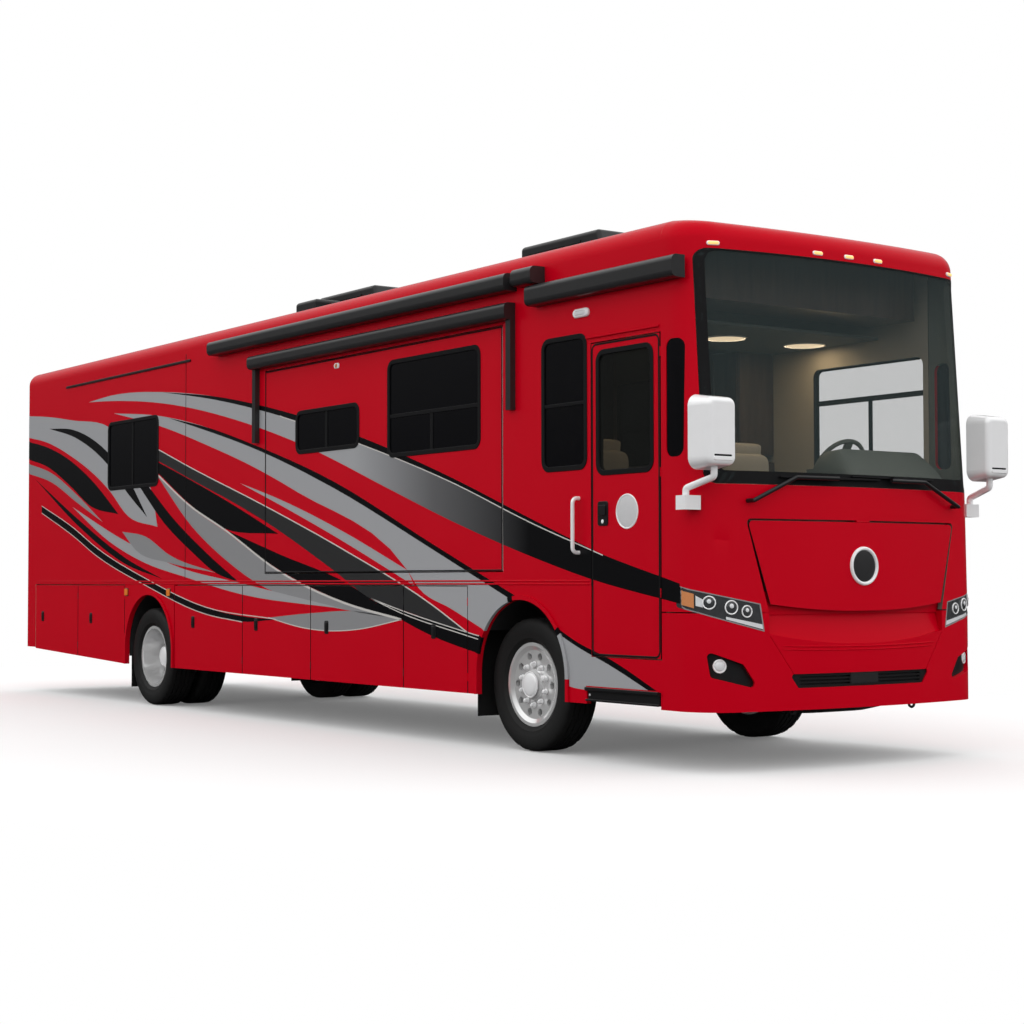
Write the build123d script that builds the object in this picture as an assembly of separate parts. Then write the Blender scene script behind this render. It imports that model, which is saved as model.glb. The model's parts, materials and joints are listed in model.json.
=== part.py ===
from build123d import *
import os

# Motorhome coach, millimetres. X runs forward, Y to the left and Z up from the ground.

# Overall sizes
OVERALL_LENGTH = 11800      # tail to mirror tips
BODY_WIDTH = 2550
ROOF_Z = 3560
WHEELBASE = 6300
FRONT_OVERHANG = 2160       # front axle to nose
MIRROR_LEAD = 50            # mirror tips ahead of the nose
REAR_CAP_LENGTH = 330

# Levels of the body
SKIRT_Z = 390
KICK_RISE = 100             # rise of the skirt's foot towards the tail
BELT_Z = 1185
BUMPER_Z = 1012
MASK_Z = 1020               # foot of the front cap
WAIST_Z = 1820              # foot of the windshield's slope
EAVE_Z = 3390
BASEMENT_Z = 400
DECK_FOOT_Z = 1150
DECK_Z = 1230

# Walls and running gaps
WALL = 45
CAP_WALL = 40
ROOF_WALL = 50
BAY_DOOR_WALL = 35
GLASS_WALL = 8
GLASS_SET = 5               # glass behind the outer face
PLATE = 20                  # bulkheads and stairwell
SEAT_GAP = 0.3
DOOR_GAP = 8
HINGE_GAP = 4
PIN_R = HINGE_GAP - SEAT_GAP
LEAF = 3                    # thickness of a hinge leaf
PIN_LENGTH = 60
ROOF_EDGE_R = 140
WINDOW_R = 60

# Front end
NOSE_BOW_R = 5700           # gentle bow of the front in plan
CORNER_R = 280
MASK_RAKE = 0.02            # run back for each unit of height, below the windshield
SCREEN_RAKE = 0.068         # the same, at the windshield
FRONT_DROP = 64             # fall of the roof over the front cap's length
SCREEN_HALF = 1210
SCREEN_Z0 = 1830
SCREEN_Z1 = 3340
SCREEN_R = 70
HOOD_Z0 = 1068              # ends of the hood's foot
HOOD_Z1 = 1600
HOOD_SAG = 50               # fall of the foot at its middle
HOOD_HEAD_R = 28
HOOD_FOOT_HALF = 788
HOOD_HEAD_HALF = 947
HOOD_SIDE_GAP = 13
HOOD_SKIN = 9               # edge flange that turns clear of the opening
HOOD_FLANGE = 45
SHELF_Z = 807               # crease of the bumper's shelf at its middle
SHELF_SAG = 72
SHELF_HALF = 800
SHELF_STEP = 8
SHELF_RAKE = 0.28           # run back of the shelf for each unit of height
GRILLE_Z0 = 530
GRILLE_Z1 = 620
GRILLE_HEAD_HALF = 645
GRILLE_FOOT_HALF = 575
GRILLE_R = 18
GRILLE_SET = 10             # grille behind the bumper's face
GRILLE_BARS = 3
GRILLE_DEPTH = 20           # depth of the slots between the bars
GROOVE = 5                  # width and depth of a panel seam

# Wheels
TYRE_R = 478
TYRE_WIDTH = 276
RIM_R = 300
RIM_WIDTH = 210
FRONT_TRACK = 2060
REAR_TRACK = 1837           # between the middles of the twin wheels
TWIN_PITCH = 337            # between the tyres of a twin wheel
KINGPIN_INSET = 130         # kingpin from the front wheel's middle plane
ARCH_R = 540
ARCH_LEAD = 50              # arch centre ahead of its axle
ARCH_TOP_Z = 1085

# Chassis
RAIL_Y = 440
RAIL_WIDTH = 80
RAIL_Z0 = 930
RECEIVER_OUT = 76
RECEIVER_IN = 51
RECEIVER_Z = 440
RECEIVER_PIN_R = 8

HALF = BODY_WIDTH / 2
TAIL_X = -OVERALL_LENGTH / 2
NOSE_X = OVERALL_LENGTH / 2 - MIRROR_LEAD
FRONT_X = NOSE_X - FRONT_OVERHANG
REAR_X = FRONT_X - WHEELBASE
REAR_SEAM_X = TAIL_X + REAR_CAP_LENGTH
WHEEL_Z = TYRE_R
KINGPIN_Y = FRONT_TRACK / 2 - KINGPIN_INSET
BAY_Y = HALF - BAY_DOOR_WALL - DOOR_GAP    # outer edge of what stands behind the bay doors
RAIL_OUT = RAIL_Y + RAIL_WIDTH / 2
RAIL_IN = RAIL_Y - RAIL_WIDTH / 2
MASK_RUN = MASK_RAKE * (WAIST_Z - MASK_Z)
WAIST_X = NOSE_X - MASK_RUN

# Entry door, measured from the front axle
DOOR_REAR = 880
DOOR_WIDTH = 720
DOOR_Z0 = 715
DOOR_Z1 = 2820
DOOR_X0 = FRONT_X + DOOR_REAR
DOOR_X1 = DOOR_X0 + DOOR_WIDTH
CAP_SEAM_X = DOOR_X1 + HINGE_GAP + DOOR_GAP

# Slide-out room, measured from the front axle
SLIDE_FRONT = -173
SLIDE_LENGTH = 3643
SLIDE_X1 = FRONT_X + SLIDE_FRONT
SLIDE_X0 = SLIDE_X1 - SLIDE_LENGTH
SLIDE_Z0 = 1290
SLIDE_Z1 = 3060
SLIDE_DEPTH = 800

# Windows: rear edge and front edge from the front axle, foot, head
RIGHT_WINDOWS = [(-7250, -6060, 2170, 2830), (330, 810, 1995, 2885)]
SLIDE_WINDOWS = [(-3243, -2218, 2320, 2650), (-1739, -472, 2210, 2940)]
LEFT_WINDOWS = [(-7250, -6060, 2170, 2830), (-4300, -3050, 2210, 2850),
                (-2000, -700, 2210, 2940), (440, 1560, 2030, 2840)]
DOOR_WINDOW = (952, 1517, 1945, 2750)
QUARTER_WINDOW = (1665, 1825, 2010, 2770)

# Bay boundaries from the front axle, with the inner ones as shares of the way from arch to arch
ARCH_MARGIN = 45            # panel beyond the arch
REAR_ARCH_FRONT = -WHEELBASE + ARCH_LEAD + ARCH_R + ARCH_MARGIN
REAR_ARCH_BACK = -WHEELBASE + ARCH_LEAD - ARCH_R - ARCH_MARGIN
FRONT_ARCH_BACK = ARCH_LEAD - ARCH_R - 3 * ARCH_MARGIN
BAY_SHARES = [0.178, 0.471, 0.719]
BAY_LENGTH = REAR_ARCH_FRONT - FRONT_ARCH_BACK
BAY_EDGES = [FRONT_ARCH_BACK, *[FRONT_ARCH_BACK + share * BAY_LENGTH for share in BAY_SHARES], REAR_ARCH_FRONT]
ENGINE_BAY_EDGE = (REAR_ARCH_BACK + REAR_SEAM_X - FRONT_X) / 2


def at(x):
    """Station measured from the front axle."""
    return FRONT_X + x


def block(x0, x1, y0, y1, z0, z1):
    return Pos((x0 + x1) / 2, (y0 + y1) / 2, (z0 + z1) / 2) * Box(x1 - x0, y1 - y0, z1 - z0)


def to_left(shape):
    return mirror(shape, about=Plane.XZ)


def both_sides(shape):
    return [shape, to_left(shape)]


def pane(x0, x1, z0, z1, corner):
    """Rounded outline of a window in X and Z."""
    return Pos((x0 + x1) / 2, (z0 + z1) / 2) * RectangleRounded(x1 - x0, z1 - z0, corner)


def side_plate(outline, y_inner, depth):
    """Outline in X and Z, carried outwards to the right by depth."""
    plane = Plane(origin=(0, y_inner, 0), x_dir=(1, 0, 0), z_dir=(0, -1, 0))
    return extrude(plane * outline, depth)


def window_cut(window):
    x0, x1, z0, z1 = window
    return side_plate(pane(at(x0), at(x1), z0, z1, WINDOW_R), -HALF + 2 * WALL, 3 * WALL)


def window_glass(window):
    x0, x1, z0, z1 = window
    gap = SEAT_GAP
    outline = pane(at(x0) + gap, at(x1) - gap, z0 + gap, z1 - gap, WINDOW_R - gap)
    return side_plate(outline, -HALF + GLASS_SET + GLASS_WALL, GLASS_WALL)


def upright_pin(x, z):
    """Hinge pin at the right-hand face, centred at height z."""
    return Pos(x, -HALF, z) * Cylinder(PIN_R, PIN_LENGTH)


def pin_heights(z0, z1):
    reach = 2 * PIN_LENGTH
    return [z0 + reach, z1 - reach]


def skirt_foot(x):
    """Lower edge of the body side, which rises behind the rear arch."""
    kick_x = at(REAR_ARCH_BACK)
    return SKIRT_Z + KICK_RISE * max(0, (kick_x - x) / (kick_x - TAIL_X))


# Front end shapes

def nose_plan(nose_x, inset):
    """Plan of the front end: straight sides, round corners and a bowed front."""
    bow = Pos(nose_x - NOSE_BOW_R, 0) * Circle(NOSE_BOW_R - inset)
    length = nose_x - CAP_SEAM_X + CORNER_R
    sides = Pos(CAP_SEAM_X + length / 2, 0) * Rectangle(length, 2 * (HALF - inset))
    plan = sides & bow
    corners = plan.vertices().sort_by(Axis.X)[-2:]
    return fillet(corners, CORNER_R - inset)


def leaning_prism(nose_x, inset, z0, z1, rake):
    plan = Plane.XY.offset(z0) * nose_plan(nose_x, inset)
    height = z1 - z0
    return Solid.extrude(plan.face(), (-rake * height, 0, height))


def bumper_body(inset):
    return leaning_prism(NOSE_X, inset, SKIRT_Z, BUMPER_Z, 0)


def mask_body(inset):
    return leaning_prism(NOSE_X, inset, MASK_Z, WAIST_Z, MASK_RAKE)


def above_roof(top_z):
    """Space above the roof, which falls towards the front from the cap's seam."""
    back_x = CAP_SEAM_X - HALF
    fall = FRONT_DROP / (WAIST_X - CAP_SEAM_X)
    outline = Polygon((back_x, top_z + fall * HALF), (NOSE_X, top_z - fall * (NOSE_X - CAP_SEAM_X)),
                      (NOSE_X, top_z + HALF), (back_x, top_z + HALF), align=None)
    return side_plate(outline, HALF, BODY_WIDTH)


def screen_body(inset, top_z, edge_r):
    """Upper front end with its roof edge rounded."""
    body = leaning_prism(WAIST_X, inset, WAIST_Z, top_z + FRONT_DROP, SCREEN_RAKE) - above_roof(top_z)
    top = body.faces().sort_by(Axis.Z)[-1]
    rim = top.edges().sort_by(Axis.X)[1:]
    return fillet(rim, edge_r)


def screen_skin(outer, inner):
    """Sheet between two insets at the windshield."""
    return leaning_prism(WAIST_X, outer, WAIST_Z, EAVE_Z, SCREEN_RAKE) - leaning_prism(
        WAIST_X, inner, WAIST_Z, EAVE_Z, SCREEN_RAKE)


def lower_skin(outer, inner):
    """Sheet between two insets from the bumper up to the windshield's foot."""
    mask = leaning_prism(NOSE_X, outer, BUMPER_Z, WAIST_Z, MASK_RAKE)
    mask_core = leaning_prism(NOSE_X, inner, BUMPER_Z, WAIST_Z, MASK_RAKE)
    return (bumper_body(outer) + mask) - (bumper_body(inner) + mask_core)


def facing_prism(outline):
    """Outline in Y and Z carried forward through the front wall."""
    return extrude(Plane.YZ.offset(CAP_SEAM_X + CORNER_R / 2) * outline, FRONT_OVERHANG)


def screen_outline(grow):
    width = 2 * (SCREEN_HALF + grow)
    height = SCREEN_Z1 - SCREEN_Z0 + 2 * grow
    return Pos(0, (SCREEN_Z0 + SCREEN_Z1) / 2) * RectangleRounded(width, height, SCREEN_R + grow)


def sagging_outline(foot_half, foot_z, sag, head_half, head_z):
    """Outline in Y and Z with a foot that sags to its middle."""
    foot = ThreePointArc((-foot_half, foot_z), (0, foot_z - sag), (foot_half, foot_z))
    rest = Polyline((foot_half, foot_z), (head_half, head_z), (-head_half, head_z), (-foot_half, foot_z))
    return make_face([foot, *rest.edges()])


def hood_outline(side, foot, head):
    """Hood outline, wider at its head, grown by the gaps given."""
    face = sagging_outline(HOOD_FOOT_HALF + side, HOOD_Z0 - foot, HOOD_SAG, HOOD_HEAD_HALF + side, HOOD_Z1 + head)
    return fillet(face.vertices().sort_by(Axis.Y)[-2:], HOOD_HEAD_R)


def shelf_outline(grow):
    half = SHELF_HALF + grow
    return sagging_outline(half, SHELF_Z + SHELF_SAG - grow, SHELF_SAG, half, BUMPER_Z + grow)


def shelf_body():
    """Space behind the shelf's face, which lies a step behind the bumper's face at the crease."""
    foot_x = NOSE_X - SHELF_STEP + SHELF_RAKE * CAP_WALL
    return leaning_prism(foot_x, 0, SHELF_Z - CAP_WALL, BUMPER_Z + CAP_WALL, SHELF_RAKE)


def grille_outline(gap):
    outline = Polygon((-GRILLE_FOOT_HALF + gap, GRILLE_Z0 + gap), (GRILLE_FOOT_HALF - gap, GRILLE_Z0 + gap),
                      (GRILLE_HEAD_HALF - gap, GRILLE_Z1 - gap), (-GRILLE_HEAD_HALF + gap, GRILLE_Z1 - gap),
                      align=None)
    return fillet(outline.vertices(), GRILLE_R)


def seam_outline():
    """Right-hand seam of the bumper's middle panel, from below the shelf's end to the grille."""
    head_z = SHELF_Z + SHELF_SAG - 3 * GROOVE
    foot_z = (GRILLE_Z0 + GRILLE_Z1) / 2
    foot_y = GRILLE_FOOT_HALF + GROOVE
    return Polygon((-SHELF_HALF + GROOVE, head_z), (-foot_y, foot_z), (-foot_y + GROOVE, foot_z),
                   (-SHELF_HALF + 2 * GROOVE, head_z), align=None)


# Right-hand corner features: ends of the chord that their outline lies on, from the front axle
LAMP_CHORD = ((2085, -840), (1745, -1275))
FOG_CHORD = ((2095, -880), (1930, -1215))
# Outlines: distance along the chord, height
LAMP_OUTLINE = [(-10, 895), (190, 950), (545, 1050), (552, 1184), (15, 1072)]
FOG_OUTLINE = [(0, 530), (330, 610), (355, 775), (110, 690)]
LAMP_R = 22
FOG_R = 25


def corner_prism(chord, outline, corner, shrink):
    """Outline on an upright plane across the front corner, carried through the wall."""
    inner = Vector(at(chord[0][0]), chord[0][1], 0)
    outer = Vector(at(chord[1][0]), chord[1][1], 0)
    along = (outer - inner).normalized()
    plane = Plane(origin=inner, x_dir=along, z_dir=along.cross(Vector(0, 0, 1)))
    face = fillet(Polygon(*outline, align=None).vertices(), corner)
    if shrink:
        face = offset(face, -shrink)
    return extrude(plane * face, CORNER_R, both=True)


def make_front_cap():
    outer = mask_body(0) + screen_body(0, ROOF_Z, ROOF_EDGE_R)
    inner = mask_body(CAP_WALL) + screen_body(CAP_WALL, ROOF_Z - ROOF_WALL, ROOF_EDGE_R - ROOF_WALL)
    cap = outer - inner
    cap -= block(CAP_SEAM_X - HALF, CAP_SEAM_X, -HALF, HALF, MASK_Z, ROOF_Z + FRONT_DROP)
    cap -= facing_prism(screen_outline(0))
    cap -= facing_prism(hood_outline(HOOD_SIDE_GAP, HOOD_Z0 - MASK_Z, HINGE_GAP + DOOR_GAP))
    for cut in both_sides(corner_prism(LAMP_CHORD, LAMP_OUTLINE, LAMP_R, 0)):
        cap -= cut
    for cut in both_sides(window_cut(QUARTER_WINDOW)):
        cap -= cut
    cap += hood_hinge()
    for z in entry_pin_heights():
        cap += entry_hinge(z)
    return cap


def hood_axis():
    """Foremost point of the line that the hood turns about, in X and Z."""
    z = HOOD_Z1 + HINGE_GAP
    return NOSE_X - MASK_RAKE * (z - MASK_Z), z


def hood_hinge():
    x, z = hood_axis()
    pin = Pos(x, 0, z) * Rot(90, 0, 0) * Cylinder(PIN_R, 2 * PIN_LENGTH)
    leaf = block(x - CAP_WALL / 2, x, -PIN_LENGTH, PIN_LENGTH, z - LEAF / 2, z + 2 * DOOR_GAP)
    return pin + leaf


def make_hood():
    """Thin skin with a thick core set in from its sides, so that the corners turn out freely."""
    skin = (mask_body(0) - mask_body(HOOD_SKIN)) & facing_prism(hood_outline(0, 0, 0))
    core = (mask_body(HOOD_SKIN) - mask_body(CAP_WALL)) & facing_prism(hood_outline(-HOOD_FLANGE, 0, 0))
    return skin + core


def make_front_bumper():
    """Wrapped bumper with a sloping shelf under the hood, thicker behind the shelf."""
    shelf_depth = SHELF_STEP + SHELF_RAKE * (BUMPER_Z - SHELF_Z)
    backing = facing_prism(shelf_outline(CAP_WALL)) - bumper_body(CAP_WALL + shelf_depth)
    bumper = bumper_body(0) - (facing_prism(shelf_outline(0)) - shelf_body())
    bumper -= bumper_body(CAP_WALL) - backing
    bumper -= facing_prism(grille_outline(0))
    seam = (bumper_body(0) - bumper_body(GROOVE)) & facing_prism(seam_outline())
    for cut in both_sides(seam):
        bumper -= cut
    for cut in both_sides(corner_prism(LAMP_CHORD, LAMP_OUTLINE, LAMP_R, 0)):
        bumper -= cut
    for cut in both_sides(corner_prism(FOG_CHORD, FOG_OUTLINE, FOG_R, 0)):
        bumper -= cut
    return bumper


def fog_place():
    inner = Vector(at(FOG_CHORD[0][0]), FOG_CHORD[0][1], 0)
    outer = Vector(at(FOG_CHORD[1][0]), FOG_CHORD[1][1], 0)
    along = (outer - inner).normalized()
    plane = Plane(origin=inner, x_dir=along, z_dir=along.cross(Vector(0, 0, 1)))
    return plane * Pos(FOG_LAMP_ALONG, FOG_LAMP_Z, 0)


FOG_LAMP_ALONG = 265        # along the chord
FOG_LAMP_Z = 680
FOG_LAMP_R = 45
FOG_LAMP_DEPTH = 50
FOG_RECESS = 30


def make_grille():
    """Lower grille and the dark pockets of the fog lamps."""
    gap = SEAT_GAP
    grille = (bumper_body(GRILLE_SET) - bumper_body(CAP_WALL)) & facing_prism(grille_outline(gap))
    face = bumper_body(0) - bumper_body(GRILLE_SET + GRILLE_DEPTH)
    pitch = (GRILLE_Z1 - GRILLE_Z0) / (GRILLE_BARS + 1)
    for row in range(GRILLE_BARS):
        z = GRILLE_Z0 + pitch * (row + 1)
        grille -= face & facing_prism(Pos(0, z) * Rectangle(2 * (GRILLE_FOOT_HALF - pitch), pitch / 2))
    pocket = lower_skin(FOG_RECESS, FOG_RECESS + CAP_WALL) & corner_prism(
        FOG_CHORD, FOG_OUTLINE, FOG_R, gap)
    pocket -= fog_place() * Cylinder(FOG_LAMP_R + gap, 4 * FOG_LAMP_DEPTH)
    return [grille, *both_sides(pocket)]


def make_front_lamps():
    lamp = lower_skin(2, CAP_WALL) & corner_prism(LAMP_CHORD, LAMP_OUTLINE, LAMP_R, SEAT_GAP)
    fog = fog_place() * Cylinder(FOG_LAMP_R, FOG_LAMP_DEPTH)
    return [*both_sides(lamp), *both_sides(fog)]


def make_windshield():
    return screen_skin(GLASS_SET, GLASS_SET + GLASS_WALL) & facing_prism(screen_outline(-SEAT_GAP))


# Body sides

def entry_pin_heights():
    return [MASK_Z + 2 * PIN_LENGTH, (MASK_Z + DOOR_Z1) / 2, DOOR_Z1 - 2 * PIN_LENGTH]


def entry_hinge(z):
    x = DOOR_X1 + HINGE_GAP
    half = PIN_LENGTH / 2
    leaf = block(x, CAP_SEAM_X + WALL / 2, -HALF, -HALF + CAP_WALL / 2, z - half, z + half)
    return upright_pin(x, z) + leaf


def make_right_wall():
    wall = block(REAR_SEAM_X, CAP_SEAM_X, -HALF, -HALF + WALL, BELT_Z, EAVE_Z)
    wall -= block(SLIDE_X0 - DOOR_GAP, SLIDE_X1 + DOOR_GAP, -HALF, -HALF + WALL,
                  SLIDE_Z0 - DOOR_GAP, SLIDE_Z1 + DOOR_GAP)
    wall -= block(DOOR_X0 - DOOR_GAP, CAP_SEAM_X, -HALF, -HALF + WALL, BELT_Z, DOOR_Z1 + DOOR_GAP)
    for window in RIGHT_WINDOWS:
        wall -= window_cut(window)
    return wall


def make_left_wall():
    wall = block(REAR_SEAM_X, CAP_SEAM_X, -HALF, -HALF + WALL, BELT_Z, EAVE_Z)
    for window in LEFT_WINDOWS:
        wall -= window_cut(window)
    return to_left(wall)


def make_side_glass():
    panes = [window_glass(window) for window in RIGHT_WINDOWS]
    panes += [to_left(window_glass(window)) for window in LEFT_WINDOWS]
    x0, x1, z0, z1 = QUARTER_WINDOW
    gap = SEAT_GAP
    outline = pane(at(x0) + gap, at(x1) - gap, z0 + gap, z1 - gap, WINDOW_R - gap)
    skin = screen_skin(GLASS_SET, GLASS_SET + GLASS_WALL)
    quarter = skin & side_plate(outline, -HALF + 3 * WALL, 4 * WALL)
    return panes + both_sides(quarter)


def make_entry_door():
    door = block(DOOR_X0, DOOR_X1, -HALF, -HALF + WALL, DOOR_Z0, DOOR_Z1)
    return door - window_cut(DOOR_WINDOW)


def make_slide_room():
    """Outer wall, floor, ceiling and two ends, open to the living space."""
    outer = block(SLIDE_X0, SLIDE_X1, -HALF, -HALF + WALL, SLIDE_Z0, SLIDE_Z1)
    for window in SLIDE_WINDOWS:
        outer -= window_cut(window)
    y0 = -HALF + WALL + SEAT_GAP
    y1 = -HALF + SLIDE_DEPTH
    plates = [block(SLIDE_X0, SLIDE_X1, y0, y1, z, z + WALL) for z in (SLIDE_Z0, SLIDE_Z1 - WALL)]
    foot = SLIDE_Z0 + WALL + SEAT_GAP
    head = SLIDE_Z1 - WALL - SEAT_GAP
    ends = [block(x, x + WALL, y0, y1, foot, head) for x in (SLIDE_X0, SLIDE_X1 - WALL)]
    return [outer, *plates, *ends]


def roof_section(inset, top, foot):
    outline = Pos(0, (foot + top) / 2) * Rectangle(2 * (HALF - inset), top - foot)
    heads = outline.vertices().sort_by(Axis.Y)[-2:]
    return fillet(heads, ROOF_EDGE_R - inset)


def make_roof():
    section = roof_section(0, ROOF_Z, EAVE_Z) - roof_section(ROOF_WALL, ROOF_Z - ROOF_WALL, EAVE_Z)
    return extrude(Plane.YZ.offset(REAR_SEAM_X) * section, CAP_SEAM_X - REAR_SEAM_X)


# Tail

REAR_CORNER_R = 110
HATCH_HALF = 760
HATCH_Z0 = 640
HATCH_Z1 = 1560
HATCH_PIN_Y = 450
LOUVRES = 8
LOUVRE_HALF = 560
LOUVRE_PITCH = 62
LOUVRE_SLOT = 26
TAIL_LAMP_Y0 = 900
TAIL_LAMP_Y1 = 1120
TAIL_LAMP_Z0 = 960
TAIL_LAMP_Z1 = 1420


def rear_shell(inset, top, x0, x1):
    body = extrude(Plane.YZ.offset(x0) * roof_section(inset, top, SKIRT_Z + KICK_RISE), x1 - x0)
    back = body.faces().sort_by(Axis.X)[0]
    rim = back.edges().sort_by(Axis.Z)[1:]
    return fillet(rim, REAR_CORNER_R - inset)


def hatch_axis():
    return TAIL_X + HINGE_GAP, HATCH_Z1 + HINGE_GAP


def make_rear_cap():
    cap = rear_shell(0, ROOF_Z, TAIL_X, REAR_SEAM_X)
    cap -= rear_shell(CAP_WALL, ROOF_Z - ROOF_WALL, TAIL_X + CAP_WALL, REAR_SEAM_X)
    deep = 2 * CAP_WALL
    cap -= block(TAIL_X, TAIL_X + deep, -HATCH_HALF - DOOR_GAP, HATCH_HALF + DOOR_GAP,
                 HATCH_Z0 - DOOR_GAP, HATCH_Z1 + HINGE_GAP + DOOR_GAP)
    lamp = block(TAIL_X, TAIL_X + deep, -TAIL_LAMP_Y1, -TAIL_LAMP_Y0, TAIL_LAMP_Z0, TAIL_LAMP_Z1)
    for cut in both_sides(lamp):
        cap -= cut
    x, z = hatch_axis()
    half = PIN_LENGTH / 2
    for y in (-HATCH_PIN_Y, HATCH_PIN_Y):
        cap += Pos(x, y, z) * Rot(90, 0, 0) * Cylinder(PIN_R, PIN_LENGTH)
        cap += block(x, x + CAP_WALL / 2, y - half, y + half, z - LEAF / 2, z + 2 * DOOR_GAP)
    return cap


def make_engine_hatch():
    x, z = hatch_axis()
    hatch = block(x, x + CAP_WALL - HINGE_GAP, -HATCH_HALF, HATCH_HALF, HATCH_Z0, HATCH_Z1)
    for row in range(LOUVRES):
        slot_z = HATCH_Z0 + LOUVRE_PITCH * (row + 2)
        hatch -= block(x, x + CAP_WALL, -LOUVRE_HALF, LOUVRE_HALF, slot_z, slot_z + LOUVRE_SLOT)
    return hatch


def make_rear_lamps():
    gap = SEAT_GAP
    lamp = block(TAIL_X + gap, TAIL_X + CAP_WALL, -TAIL_LAMP_Y1 + gap, -TAIL_LAMP_Y0 - gap,
                 TAIL_LAMP_Z0 + gap, TAIL_LAMP_Z1 - gap)
    return both_sides(lamp)


# Skirts, bays and floor

def arch_outline(centre_x, radius, foot):
    spring_z = ARCH_TOP_Z - ARCH_R
    head = Pos(centre_x, spring_z) * Circle(radius)
    legs = Pos(centre_x, (foot + spring_z) / 2) * Rectangle(2 * radius, spring_z - foot)
    below = Pos(centre_x, foot - radius) * Rectangle(2 * radius, 2 * radius)
    return head + legs - below


LIP_WIDTH = 32
LIP_PROUD = 14


def skirt_panel(x0, x1, arch_x):
    """Fixed panel round a wheel arch, with the hinge of the bay door behind it."""
    top = BELT_Z
    panel = block(x0 + DOOR_GAP, x1, -HALF, -HALF + BAY_DOOR_WALL, SKIRT_Z, top)
    panel -= side_plate(arch_outline(arch_x, ARCH_R, 0), -HALF + 2 * WALL, 3 * WALL)
    lip = arch_outline(arch_x, ARCH_R + LIP_WIDTH, SKIRT_Z) - arch_outline(arch_x, ARCH_R, 0)
    panel += side_plate(lip, -HALF, LIP_PROUD)
    half = PIN_LENGTH / 2
    for z in pin_heights(SKIRT_Z, BELT_Z):
        panel += upright_pin(x0, z)
        panel += block(x0, x0 + 2 * DOOR_GAP, -HALF, -HALF + BAY_DOOR_WALL / 2, z - half, z + half)
    return panel


STEP_X0 = 820
STEP_X1 = 1600
STEP_Z0 = 410
STEP_Z1 = 500
STEP_DEPTH = 420
STEP_PROUD = 15
STEP_LIP = 24


def make_skirts():
    rear = skirt_panel(at(REAR_ARCH_BACK), at(REAR_ARCH_FRONT) - DOOR_GAP, REAR_X + ARCH_LEAD)
    front = skirt_panel(at(FRONT_ARCH_BACK), CAP_SEAM_X, FRONT_X + ARCH_LEAD)
    door_hole = block(DOOR_X0 - DOOR_GAP, CAP_SEAM_X, -HALF, -HALF + WALL, DOOR_Z0 - DOOR_GAP, BELT_Z)
    step_hole = block(at(STEP_X0) - SEAT_GAP, at(STEP_X1) + SEAT_GAP, -HALF, -HALF + WALL,
                      SKIRT_Z, STEP_Z1 + SEAT_GAP)
    return [rear, front - door_hole - step_hole, to_left(rear), to_left(front)]


def make_entry_step():
    """Folded step box with a tread lip that stands out over it."""
    lip = block(at(STEP_X0), at(STEP_X1), -HALF - STEP_PROUD, -HALF + STEP_DEPTH, STEP_Z1 - STEP_LIP, STEP_Z1)
    box = block(at(STEP_X0) + STEP_PROUD, at(STEP_X1) - STEP_PROUD, -HALF, -HALF + STEP_DEPTH, STEP_Z0, STEP_Z1)
    return lip + box


def bay_spans():
    """Each bay door's rear and front boundary, front to rear."""
    spans = [(at(rear), at(front)) for front, rear in zip(BAY_EDGES, BAY_EDGES[1:])]
    spans.append((at(ENGINE_BAY_EDGE), at(REAR_ARCH_BACK)))
    spans.append((REAR_SEAM_X, at(ENGINE_BAY_EDGE)))
    return spans


def make_bay_door(span):
    x0 = span[0] + DOOR_GAP
    x1 = span[1] - HINGE_GAP
    top = BELT_Z - DOOR_GAP
    outline = Polygon((x0, skirt_foot(x0)), (x1, skirt_foot(x1)), (x1, top), (x0, top), align=None)
    return side_plate(outline, -HALF + BAY_DOOR_WALL, BAY_DOOR_WALL)


def bulkhead_hinge(x, z):
    half = PIN_LENGTH / 2
    leaf = block(x - LEAF / 2, x + LEAF / 2, -HALF, -BAY_Y, z - half, z + half)
    return upright_pin(x, z) + leaf


def make_bulkheads():
    walls = []
    foot = BASEMENT_Z + PLATE
    half = PLATE / 2
    for edge in BAY_EDGES:
        x = at(edge)
        wall = block(x - half, x + half, -BAY_Y, BAY_Y, foot, DECK_FOOT_Z)
        for y in (-RAIL_Y, RAIL_Y):
            wall -= block(x - half, x + half, y - RAIL_WIDTH / 2, y + RAIL_WIDTH / 2, RAIL_Z0, DECK_FOOT_Z)
        if edge in BAY_EDGES[1:-1]:
            for z in pin_heights(SKIRT_Z, BELT_Z):
                for hinge in both_sides(bulkhead_hinge(x, z)):
                    wall += hinge
        walls.append(wall)
    x = at(ENGINE_BAY_EDGE)
    post = block(x - half, x + half, -BAY_Y, -RAIL_OUT, SKIRT_Z + KICK_RISE, DECK_FOOT_Z)
    for z in pin_heights(SKIRT_Z, BELT_Z):
        post += bulkhead_hinge(x, max(z, SKIRT_Z + KICK_RISE + PIN_LENGTH))
    return walls + both_sides(post)


def make_basement():
    half = PLATE / 2
    return block(at(BAY_EDGES[-1]) - half, at(BAY_EDGES[0]) + half, -BAY_Y, BAY_Y, BASEMENT_Z, BASEMENT_Z + PLATE)


WELL_Y = -500               # inner side of the stairwell
TREADS = 2
RUNNER_INSET = 500
RUNNER_WIDTH = 80


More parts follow.
